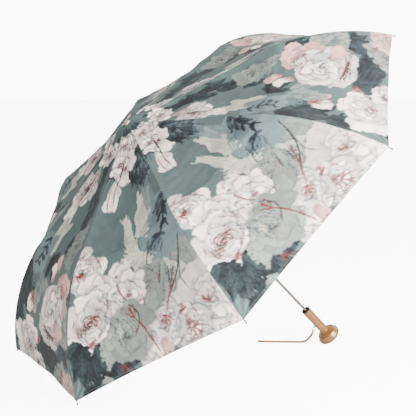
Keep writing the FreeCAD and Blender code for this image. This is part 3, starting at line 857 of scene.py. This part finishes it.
# Bristle streaks: the column of fine noise that they follow, and where on it they are centred.
STREAK_COLUMN, STREAK_CENTRE = 40, 300
FEWEST_FOLDS, FOLDS_PER_MM = 9, 0.26
HEART_STROKES = 18

SAGE = (140, 155, 153)
DEEP_SAGE = (88, 105, 107)
MIST = (168, 182, 182)
CREAM = (218, 217, 211)
CHALK = (236, 233, 231)
BLUSH = (226, 209, 205)
LINEN = (190, 194, 188)
ASH = (160, 158, 160)
ROSE = (158, 88, 84)
WINE = (104, 56, 56)
INK = (40, 46, 50)
SLATE = (92, 108, 116)
HAZE = (138, 156, 162)

# Dyed cloth sends back DYE_SCALE * shade ** DYE_POWER / (DYE_TOP - shade), for a shade of 0 to 1.
DYE_SCALE, DYE_POWER, DYE_TOP = 0.132, 2.2, 1.021


class Panel:
    """One gore of printed cloth, crown at the top: x across from its middle, y from the crown."""

    def __init__(self, seed):
        self.draw = np.random.default_rng(seed).uniform
        columns = round(PANEL_WIDE / PANEL_STEP)
        rows = round(PANEL_LONG / PANEL_STEP)
        self.x = (np.arange(columns) + 0.5) * PANEL_STEP - PANEL_WIDE / 2
        self.y = (np.arange(rows) + 0.5) * PANEL_STEP
        self.ink = np.empty((rows, columns, 3))
        self.ink[:] = SAGE
        self.flower = np.zeros((rows, columns))
        self.coarse = self.cloud(22)
        self.middle = self.cloud(7.5)
        self.fine = self.cloud(2.8)
        self.grain = self.cloud(1.3)

    def cloud(self, scale):
        """Smooth noise from -1 to 1 whose bumps are about the given size."""
        total = 0
        for part in (1.0, 0.77, 0.6):
            step = scale * part
            rows = int(PANEL_LONG / step) + 6
            columns = int(PANEL_WIDE / step) + 6
            knots = self.draw(-1, 1, (rows, columns))
            y = self.y / step + 1 + self.draw()
            x = (self.x + PANEL_WIDE / 2) / step + 1 + self.draw()
            total = total + cubic(cubic(knots, y, 0), x, 1)
        return total

    def window(self, x, y, reach):
        i0, i1 = np.searchsorted(self.y, (y - reach, y + reach))
        j0, j1 = np.searchsorted(self.x, (x - reach, x + reach))
        return slice(i0, i1), slice(j0, j1)

    def local(self, x, y, angle, reach):
        """The window about a point: its places along and across a direction, and its noise."""
        where = self.window(x, y, reach)
        dx = self.x[where[1]][None, :] - x
        dy = self.y[where[0]][:, None] - y
        c, s = math.cos(angle), math.sin(angle)
        noise = (self.coarse[where], self.middle[where], self.fine[where])
        return where, dx * c + dy * s, dy * c - dx * s, *noise

    def lay(self, where, colour, cover):
        """Paint a colour over the window as far as cover, from 0 to 1, says."""
        change = np.asarray(colour, float) - self.ink[where]
        self.ink[where] += change * unit(cover)[..., None]

    def petal(self, x, y, angle, long, wide, body=CHALK, line=ASH, red=0.0):
        """A rounded petal from its base, with a washed body, faint veins and a drawn edge."""
        where, a, b, coarse, middle, fine = self.local(x, y, angle, long * 1.3)
        a = a + coarse * 3.4 + middle * 1.2
        b = b + coarse * 4.0 + middle * 0.8
        t = a / long
        half = 0.5 * wide * (0.55 + 0.72 * unit(t))
        form = np.abs((t - 0.5) / 0.5) ** 2.5 + np.abs(b / half) ** 2.2 + fine * 0.02
        form += 0.5 * np.exp(-(b / (0.09 * wide)) ** 2) * unit(t - 0.75)
        soft = 2.4 * PANEL_STEP / (0.5 * wide)
        cover = unit((1 - form) / soft + 0.5)
        under = np.exp(-np.clip(form - 1, 0, 9) / 0.22) * (1 - cover) * self.flower[where]
        self.lay(where, ASH, under * 0.34)
        self.lay(where, body, cover)
        self.flower[where] = np.maximum(self.flower[where], cover)
        side = unit(0.5 + b / wide + 0.5 * coarse)
        base = unit(1 - t * 1.5)
        shadow = 0.12 * side * side + 0.30 * base ** 1.6
        self.lay(where, ASH, cover * shadow * (0.8 + 0.3 * middle))
        veins = np.abs(np.sin((b / half * 4 + middle * 1.3 + coarse * 0.6) * math.pi / 2)) ** 18
        reach = unit(0.9 - t + 0.7 * middle)
        self.lay(where, line, cover * veins * 0.20 * reach)
        wash = unit(base * 1.1 + 0.5 * coarse - 0.45)
        self.lay(where, ROSE, cover * red * (0.85 * wash + 0.4 * veins * reach * base))
        rim = np.exp(-((form - 0.95) / (0.03 + soft * 0.5)) ** 2)
        self.lay(where, line, rim * unit(0.35 + 0.8 * coarse) * 0.62)
        self.lay(where, SLATE, rim * unit(0.9 * middle) * 0.6)

    def bloom(self, x, y, radius, body=CHALK, line=ASH, red=0.3, turn=0.0, rings=3, squeeze=1.0):
        """A full loose flower: rings of petals, each smaller than the last, about a heart."""
        draw = self.draw
        for ring in range(rings):
            share = 1 - ring / rings
            count = (6, 5, 4, 3, 3)[min(ring, 4)]
            start = turn + ring * 0.75
            for i in range(count):
                angle = start + math.tau * (i + draw(-0.3, 0.3)) / count
                long = radius * (0.26 + 0.78 * share) * draw(0.72, 1.24)
                wide = long * draw(0.95, 1.45) * squeeze
                px, py = onward(x, y, angle, 0.12 * radius * share)
                tint = np.array(body) * draw(0.93, 1.02) + (draw(-1, 1.5), 0, 0)
                edge = ROSE if draw() < red * 0.45 else line
                self.petal(px, py, angle, long, wide, tint, edge, red=red * draw(-0.3, 0.9))
            if ring == 0:
                self.petal(x - 0.2 * radius, y, 0, 0.45 * radius, 0.45 * radius, body, line)
        self.folds(x, y, radius, red)
        self.heart(x, y, radius * 0.18, red)

    def folds(self, x, y, radius, red):
        """Thin curved strokes over a flower, along its petals' folds."""
        draw = self.draw
        for _ in range(round(FEWEST_FOLDS + FOLDS_PER_MM * radius)):
            angle = draw(0, math.tau)
            out = radius * draw(0.3, 0.98)
            sweep = draw(0.25, 0.8)
            drift = draw(-0.25, 0.25)
            line = [onward(x, y, angle + sweep * share, out * (1 + drift * share))
                    for share in (0, 0.33, 0.66, 1)]
            rosy = draw() < 0.12 + red * 0.65
            colour = ROSE if rosy else (SLATE if draw() < 0.35 else ASH)
            self.stroke(line, draw(0.9, 2.1), colour, draw(0.45, 0.9))

    def heart(self, x, y, radius, red):
        """Curled strokes in the middle of a flower."""
        draw = self.draw
        for i in range(HEART_STROKES):
            angle = draw(0, math.tau)
            out = radius * draw(0.2, 1.5)
            bend = draw(0.6, 1.5)
            line = [(x + out * math.cos(t) * (1 + 0.1 * n), y + out * math.sin(t) * 0.8)
                    for n, t in enumerate(np.linspace(angle, angle + bend, 9))]
            colour = (ROSE, WINE, ROSE)[i % 3] if draw() < red + 0.2 else SLATE
            self.stroke(line, 1.8, colour, 0.35 + 0.4 * min(red, 1))

    def stroke(self, line, wide, colour, strength=0.8):
        """A brush stroke along a line of points."""
        line = smooth_stroke(line)
        middle = line.mean(axis=0)
        reach = np.abs(line - middle).max() + 3 * wide
        where = self.window(middle[0], middle[1], reach)
        xs = self.x[where[1]][None, :] + self.fine[where] * 0.4
        ys = self.y[where[0]][:, None] + self.middle[where] * 0.6
        cover = np.zeros(xs.shape)
        for share, (px, py) in zip(np.linspace(0, 1, len(line)), line):
            thick = wide * (math.sin(math.pi * min(0.97, 0.12 + 0.88 * share)) + 0.15)
            near = 1 - np.hypot(xs - px, ys - py) / (0.5 * thick + 0.6 * PANEL_STEP)
            np.maximum(cover, near, out=cover)
        self.lay(where, colour, unit(cover * 2.2) * strength
                 * unit(0.85 + 0.4 * self.fine[where]))

    def leaf(self, x, y, angle, long, wide, body, vein=INK, depth=0.5, bend=0.0):
        """A pointed leaf from its stalk, with a midrib, side veins and dark washes."""
        where, a, b, coarse, middle, fine = self.local(x, y, angle, long * 1.2)
        t = a / long
        b = b + bend * long * (t - 0.5) ** 2 + middle * 1.6 + coarse * 2
        inside = np.clip(t, 0.001, 0.999)
        half = 0.5 * wide * np.sin(math.pi * inside ** 0.8) ** 0.8
        half *= 1 + 0.16 * middle + 0.08 * fine
        gap = np.where((t > 0) & (t < 1), half - np.abs(b), OUTSIDE)
        cover = unit(gap / (1.5 * PANEL_STEP) + 0.5)
        self.lay(where, body, cover * 0.92)
        dark = 0.45 * coarse + 0.25 * middle + 0.18 * np.sign(b) - 0.05
        self.lay(where, vein, cover * depth * np.clip(dark + 0.12, 0, 0.9))
        turns = t * 4 - np.abs(b) / wide * 2.6 + 0.4 * coarse
        ribs = np.abs(np.sin(turns * math.pi)) ** 16
        self.lay(where, vein, cover * ribs * 0.55 * unit(0.35 + middle) * depth)
        self.lay(where, vein, cover * depth * 0.55 * unit(0.4 - t))
        self.lay(where, vein, cover * np.exp(-(b / 0.8) ** 2) * 0.7)
        rim = np.exp(-((gap - 0.6) / 0.9) ** 2)
        self.lay(where, vein, rim * cover * unit(0.3 + 0.9 * middle) * 0.8)

    def patch(self, x, y, angle, long, wide, colour, strength=1.0, rag=6):
        """A dry brush mark: straight sides, torn ends and bristle streaks."""
        where, a, b, coarse, middle, fine = self.local(x, y, angle, 0.6 * (long + wide))
        bristles = self.fine[:, STREAK_COLUMN]
        streak = np.interp(b.ravel(), self.y - STREAK_CENTRE, bristles).reshape(b.shape)
        torn = middle * 0.7 + 0.45 * streak + 0.2 * fine
        ends = (0.5 * long + torn * rag - np.abs(a)) / (2.2 * PANEL_STEP)
        sides = 0.5 * wide + (coarse + middle * 0.4) * rag * 0.3 - np.abs(b)
        cover = unit(ends) * unit(sides / (2 * PANEL_STEP))
        self.lay(where, colour, cover * strength)
        self.lay(where, np.array(colour) * 0.9, cover * strength
                 * np.clip(0.4 * coarse + 0.25 * streak, 0, 0.5))

    def sprig(self, x, y, angle, long, bend, count):
        """An inky twig whose fine blades fan out from its end, over a pale blue wash."""
        draw = self.draw
        line = [onward(x, y, angle + bend * (share - 0.5), long * share)
                for share in (0, 0.25, 0.5, 0.75, 1)]
        for n in range(count):
            share = 0.15 + 0.8 * n / count
            k = min(3, int(share * 4))
            px, py = line[k]
            side = -1 if n % 2 else 1
            heading = angle + side * draw(0.35, 1.0)
            run = long * draw(0.22, 0.45) * (1.1 - 0.5 * share)
            self.leaf(px, py, heading, run, run * 0.34, HAZE, vein=INK, depth=0.75, bend=0.3 * side)
            tip = onward(px, py, heading, run)
            self.stroke([(px, py), ((px + tip[0]) / 2 + 2 * side, (py + tip[1]) / 2), tip],
                        draw(1.0, 2.2), INK, draw(0.45, 0.85))
        self.stroke(line, 3, INK, 0.9)

    def hatch(self, x, y, angle, long, wide, colour, count=24, strength=0.35):
        """Loose pencil lines in one direction."""
        draw = self.draw
        c, s = math.cos(angle), math.sin(angle)
        for _ in range(count):
            across = draw(-0.5, 0.5) * wide
            start = draw(-0.5, 0.1) * long
            run = draw(0.25, 0.6) * long
            bow = draw(-0.06, 0.06) * long
            line = [(x + a * c - b * s, y + a * s + b * c)
                    for a, b in ((start, across), (start + 0.5 * run, across + bow),
                                 (start + run, across))]
            self.stroke(line, draw(0.6, 1.3), colour, strength * draw(0.6, 1.5))

    def fan(self, x, y, angle, spread, count, long, body=DEEP_SAGE, inky=1.0):
        """Dark leaves spreading from one point, with inky lines over them."""
        for way in np.linspace(angle - spread / 2, angle + spread / 2, count):
            run = long * self.draw(0.8, 1.15)
            self.leaf(x, y, way, run, run * 0.46, body, depth=1.3 * inky, bend=0.25)
        lines = round(0.5 * long * inky)
        x, y = onward(x, y, angle, 0.5 * long)
        self.hatch(x, y, angle, 1.1 * long, 0.7 * long, INK, lines, 0.5)

    def rosy(self, x, y, angle, spread, count, long):
        """A spray of short rose strokes from one point."""
        draw = self.draw
        for way in np.linspace(angle - spread / 2, angle + spread / 2, count):
            run = long * draw(0.6, 1.1)
            tip = onward(x, y, way, run)
            side = draw(-0.2, 0.2) * run
            bow = ((x + tip[0]) / 2 - side * math.sin(way), (y + tip[1]) / 2 + side * math.cos(way))
            self.stroke([(x, y), bow, tip], draw(1.2, 2.4), ROSE, 0.85)

    def reflectance(self):
        """How much of each colour the dyed cloth sends back, deepest in the dark inks."""
        shade = (self.ink + (self.grain * 2.0 + self.fine * 1.5)[..., None]) / 255
        grey = shade.mean(axis=-1, keepdims=True)
        shade = np.clip(grey + (shade - grey) * 1.05, 0.02, 0.94)
        return DYE_SCALE * shade ** DYE_POWER / (DYE_TOP - shade)


def onward(x, y, angle, run):
    """The point a run away from another in a direction."""
    return x + run * math.cos(angle), y + run * math.sin(angle)


def cubic(knots, at, axis):
    """Smooth interpolation of a table of knots along one axis."""
    base = np.floor(at).astype(int)
    t = at - base
    t = t * t * (3 - 2 * t)
    first = np.take(knots, np.clip(base, 0, knots.shape[axis] - 1), axis)
    second = np.take(knots, np.clip(base + 1, 0, knots.shape[axis] - 1), axis)
    t = t[:, None] if axis == 0 else t[None, :]
    return first + (second - first) * t


def smooth_stroke(line):
    """A stroke's points, bent smoothly through those given, one every half millimetre or so."""
    line = np.array(line, float)
    while 2 < len(line) < 9:
        line = refine(line)
    length = np.concatenate([[0], np.cumsum(np.linalg.norm(np.diff(line, axis=0), axis=1))])
    even = np.linspace(0, length[-1], max(3, int(length[-1] / STROKE_STEP)))
    return np.stack([np.interp(even, length, line[:, i]) for i in (0, 1)], axis=1)


def refine(line):
    """Cut each corner of a line, keeping its ends."""
    first = 0.75 * line[:-1] + 0.25 * line[1:]
    second = 0.25 * line[:-1] + 0.75 * line[1:]
    inner = np.stack([first, second], axis=1).reshape(-1, 2)
    return np.vstack([line[:1], inner[1:-1], line[-1:]])


def paint_panel(kind):
    """A panel of large soft flowers on a sage ground, with leaves and torn brush marks."""
    panel = Panel(41 + kind)
    everywhere = (slice(None), slice(None))
    panel.lay(everywhere, DEEP_SAGE, np.clip(panel.coarse * 0.08, 0, 0.1))
    panel.lay(everywhere, MIST, np.clip(-panel.coarse * 0.07, 0, 0.1))
    (first_layout, second_layout)[kind](panel)
    panel.colours = panel.reflectance()
    return panel


def first_layout(p):
    # pale washes under the flowers
    p.patch(-20, 440, 0.1, 200, 120, LINEN, rag=12)
    p.patch(85, 485, 0.5, 140, 100, LINEN, rag=12)
    # torn brush marks, with a blue-grey sprig between them
    p.patch(82, 320, 1.5, 180, 100, MIST, rag=4)
    p.patch(38, 250, 1.6, 110, 36, CREAM, rag=9)
    p.patch(10, 300, 1.35, 130, 22, CREAM)
    p.patch(24, 345, 0.5, 70, 30, CREAM, rag=9)
    p.hatch(72, 280, 1.9, 100, 70, HAZE, 34, 0.5)
    p.sprig(94, 232, 1.75, 85, bend=-0.5, count=12)
    p.leaf(88, 322, 2.7, 52, 26, HAZE, depth=1.3, bend=0.5)
    p.stroke([(92, 250), (90, 300), (82, 326), (58, 332), (50, 356)], 3.6, INK, 0.9)
    p.hatch(60, 345, 1.9, 50, 50, INK, 16, 0.45)
    crown_spray(p)
    # dark leaves at the left corner
    p.fan(-116, 452, 2.2, 1.9, 4, 62)
    p.fan(-128, 476, 1.9, 1.5, 4, 62)
    p.fan(-152, 520, 1.4, 1.0, 3, 50)
    p.patch(-128, 548, 0.1, 50, 22, CREAM)
    p.patch(-84, 516, 0.5, 80, 44, LINEN, rag=10)
    p.fan(-74, 500, 1.2, 1.5, 3, 50, SLATE)
    p.rosy(-66, 512, 1.2, 1.6, 6, 26)
    # right-hand leaves, twigs and flowers
    p.petal(98, 368, 1.1, 80, 50, LINEN)
    p.petal(120, 372, 0.9, 76, 42, LINEN, SLATE)
    p.leaf(118, 352, 1.2, 75, 34, LINEN, vein=ASH, depth=0.4)
    p.bloom(66, 420, 36, CREAM, red=0.1, turn=0.5, rings=2)
    p.petal(100, 440, 1.0, 60, 52, red=0.1)
    p.bloom(148, 482, 54, red=0.05, turn=0.2, squeeze=1.15)
    p.rosy(142, 482, -2.0, 1.2, 5, 22)
    p.fan(128, 536, 0.8, 1.6, 3, 36)
    p.bloom(86, 502, 38, red=0.6, turn=0.8)
    p.rosy(92, 507, 0.9, 2.6, 8, 28)
    p.rosy(74, 478, -0.6, 0.7, 6, 30)
    p.bloom(10, 512, 32, red=0.1, turn=0.9, rings=2)
    p.bloom(42, 482, 42, red=0.15, turn=0.5, squeeze=1.15)
    p.petal(30, 500, 1.5, 32, 24, BLUSH, red=0.3)
    # middle flowers
    p.bloom(30, 402, 36, LINEN, red=0.0, turn=0.1)
    p.petal(-8, 378, -2.2, 50, 44)
    p.petal(-12, 382, -1.6, 44, 36)
    p.rosy(-32, 358, 0.6, 1.6, 3, 12)
    p.bloom(-18, 408, 40, turn=0.2)
    p.stroke([(-30, 372), (-28, 392), (-18, 410)], 3, ROSE, 0.85)
    p.bloom(-34, 470, 44, LINEN, red=0.05, turn=0.5, squeeze=1.1)
    p.hatch(-36, 450, 1.1, 50, 40, SLATE, 24, 0.6)
    p.leaf(-52, 436, 1.0, 40, 22, LINEN, vein=SLATE, depth=0.7)
    p.leaf(-46, 440, 1.9, 36, 20, CREAM, vein=SLATE, depth=0.6)
    p.stroke([(118, 345), (108, 395), (82, 430), (60, 450)], 3.2, INK, 0.85)
    p.stroke([(108, 395), (100, 420), (112, 445)], 2.2, SLATE, 0.8)
    p.stroke([(92, 395), (78, 430), (52, 468)], 3.4, ROSE, 0.9)
    p.rosy(50, 468, 1.6, 3.0, 9, 20)
    p.hatch(76, 402, 1.8, 60, 40, SLATE, 22, 0.7)
    p.stroke([(-12, 445), (4, 475), (12, 505), (18, 532)], 3.2, ROSE, 0.95)
    p.stroke([(10, 530), (18, 534), (24, 526)], 2.6, ROSE, 0.9)
    p.rosy(-12, 446, -1.9, 1.0, 9, 26)
    p.stroke([(-16, 420), (0, 440), (-6, 462), (-22, 478)], 2.6, INK, 0.7)
    # the two roses by the left rib
    p.petal(-116, 300, 2.0, 50, 40, red=0.4)
    p.petal(-80, 345, 0.9, 60, 50, red=0.1)
    p.bloom(-96, 318, 38, red=0.5, turn=0.2)
    p.rosy(-112, 322, 0.4, 1.2, 7, 20)
    p.bloom(-82, 378, 34, red=0.1, turn=0.4, rings=2)
    p.bloom(-103, 420, 43, red=0.4, turn=0.5, rings=4)
    p.heart(-103, 420, 15, 1.0)
    p.heart(-103, 420, 10, 1.0)
    p.hatch(-112, 452, 0.3, 40, 20, ROSE, 8, 0.6)
    p.hatch(-62, 440, 0.9, 50, 30, SLATE, 9, 0.5)
    p.fan(-124, 452, 2.5, 1.5, 4, 46)
    p.fan(-120, 476, 2.0, 1.8, 4, 56)
    p.rosy(-116, 456, 0.2, 1.4, 6, 18)


def crown_spray(p):
    """Small flowers, dark leaves and a long veined petal below the crown."""
    p.patch(40, 135, 1.15, 80, 30, MIST, strength=0.9)
    p.patch(-4, 60, 1.57, 90, 30, DEEP_SAGE, strength=0.8)
    p.patch(46, 190, 1.3, 110, 26, MIST, strength=0.7)
    p.fan(12, 80, 1.2, 1.0, 3, 56, HAZE, inky=0.8)
    p.fan(28, 138, 1.3, 1.6, 3, 52, HAZE, inky=0.6)
    p.fan(-26, 96, 2.0, 0.7, 2, 46, SLATE, inky=0.6)
    p.stroke([(24, 110), (36, 128), (30, 146), (40, 158)], 4.2, INK, 0.9)
    p.leaf(18, 100, 1.1, 50, 30, HAZE, depth=0.9)
    p.leaf(26, 128, 2.0, 46, 26, MIST, depth=0.9, bend=0.4)
    p.hatch(30, 120, 1.1, 60, 35, INK, 14, 0.5)
    p.bloom(-6, 60, 30, red=0.4, turn=0.3, rings=2)
    p.bloom(-16, 98, 28, turn=1.3, rings=2)
    p.petal(-26, 130, 1.8, 80, 32, red=0.1)
    p.petal(-12, 115, 1.4, 46, 28, red=0.1)
    p.stroke([(-34, 190), (-30, 160), (-20, 135)], 2.2, ROSE, 0.8)
    p.stroke([(-48, 196), (-44, 170), (-36, 150)], 1.8, ROSE, 0.7)
    p.stroke([(-8, 100), (-16, 125), (-24, 150)], 3.4, INK, 0.85)
    p.leaf(6, 128, 1.2, 45, 20, DEEP_SAGE, depth=1.4)
    p.rosy(-4, 108, 1.9, 0.9, 5, 20)


def second_layout(p):
    # an inky band from the crown, and small flowers beside it
    p.leaf(4, 30, 1.5, 110, 20, DEEP_SAGE, depth=1.2)
    p.leaf(12, 90, 1.3, 90, 26, DEEP_SAGE, depth=1.3, bend=0.2)
    for y, angle, body in ((130, 1.9, SLATE), (150, 1.1, DEEP_SAGE), (185, 1.6, SLATE),
                           (205, 1.0, DEEP_SAGE), (235, 1.9, SLATE)):
        p.leaf(30, y, angle, 62, 26, body, depth=1.2, bend=0.3)
    p.hatch(30, 160, 1.45, 160, 30, INK, 26, 0.4)
    p.bloom(-8, 70, 24, turn=0.3, rings=2)
    p.petal(-16, 95, 1.8, 66, 28, CREAM, red=0.2)
    p.bloom(-36, 150, 32, turn=0.9, rings=2)
    p.petal(-44, 165, 1.75, 70, 30, red=0.2)
    p.rosy(-30, 135, 1.8, 0.5, 5, 26)
    p.stroke([(-22, 120), (-30, 150), (-40, 190)], 3, INK, 0.8)
    p.bloom(52, 262, 30, LINEN, red=0.1, turn=0.4, rings=2)
    p.leaf(60, 280, 1.2, 60, 30, LINEN, vein=SLATE, depth=0.5)
    p.patch(-50, 258, 1.75, 80, 34, CREAM, rag=10)
    p.patch(-78, 305, 1.6, 90, 54, MIST, rag=5)
    p.sprig(-80, 270, 1.6, 70, bend=0.5, count=10)
    # dark leaves and a pink bud at the left
    for angle, long in ((2.6, 60), (2.0, 75), (1.4, 80), (0.8, 60)):
        p.leaf(-112, 366, angle, long, 34, DEEP_SAGE, depth=1.3, bend=0.2)
    p.hatch(-115, 395, 1.6, 80, 60, INK, 30, 0.5)
    p.fan(-20, 290, 1.4, 1.0, 3, 60)
    p.fan(110, 330, 1.3, 1.2, 3, 62)
    p.fan(120, 440, 1.2, 1.6, 4, 62)
    p.fan(-120, 330, 1.9, 1.4, 3, 56)
    p.fan(-146, 520, 1.2, 1.6, 3, 50)
    p.petal(-78, 385, 1.9, 52, 28, red=0.9)
    p.petal(-70, 380, 1.3, 46, 26, BLUSH, red=0.6)
    p.rosy(-78, 392, 1.7, 0.6, 6, 34)
    # pale leaves on both sides
    p.leaf(-50, 345, 1.7, 80, 36, LINEN, vein=SLATE, depth=0.4)
    p.leaf(-36, 350, 1.1, 66, 30, LINEN, vein=SLATE, depth=0.3)
    p.bloom(110, 420, 36, LINEN, SLATE, red=0.0, turn=0.4, rings=2)
    p.leaf(98, 400, 0.6, 60, 34, LINEN, vein=SLATE, depth=0.5)
    # dark leaves behind the big flowers
    p.patch(30, 492, 0.1, 160, 50, DEEP_SAGE, rag=10)
    for x, angle in ((-20, 0.6), (10, 1.1), (40, 0.4), (70, 0.9), (90, -0.4), (30, -0.3)):
        p.leaf(x, 478, angle, 58, 28, SLATE, depth=1.4, bend=0.2)
    p.hatch(40, 495, 0.3, 140, 50, INK, 70, 0.6)
    for angle, long in ((2.4, 70), (1.9, 80)):
        p.leaf(-130, 425, angle, long, 36, DEEP_SAGE, depth=1.3)
    # the blush flowers
    p.petal(20, 330, -1.9, 40, 30, BLUSH, red=0.5)
    p.petal(10, 345, -2.4, 36, 28, red=0.4)
    p.bloom(72, 372, 42, BLUSH, red=0.6, turn=0.1)
    p.bloom(36, 408, 50, red=0.2, turn=0.4)
    p.petal(60, 428, 0.3, 50, 40, BLUSH, red=0.1)
    p.heart(60, 360, 12, 1.0)
    p.stroke([(0, 440), (40, 452), (80, 446)], 4, ROSE, 0.8)
    p.hatch(30, 452, 0.1, 90, 20, WINE, 20, 0.7)
    # white flowers and a bud on the other side
    p.petal(-20, 468, 2.6, 44, 26, BLUSH, WINE, red=1.2)
    p.hatch(-40, 482, 2.5, 40, 14, WINE, 12, 0.7)
    p.bloom(-90, 500, 52, red=0.1, turn=0.9, squeeze=1.1)
    p.rosy(-88, 504, 0.6, 2.4, 6, 18)
    p.bloom(-36, 527, 34, red=0.2, turn=0.2, rings=2)
    p.rosy(-50, 548, 0.2, 1.6, 8, 22)
    p.leaf(70, 510, 0.9, 56, 34, LINEN, vein=SLATE, depth=0.5)
    p.bloom(98, 525, 38, LINEN, SLATE, red=0.1, turn=0.5, rings=2)
    p.leaf(110, 500, 0.2, 44, 24, CREAM, vein=WINE, depth=0.9)
    p.bloom(156, 530, 38, BLUSH, red=0.25, turn=0.5, rings=2)


def build():
    make_camera()
    finishes = dress_frame()
    make_strap(finishes)
    make_canopy(cloth_material("printed_satin"))
    floor_and_lights()


build()
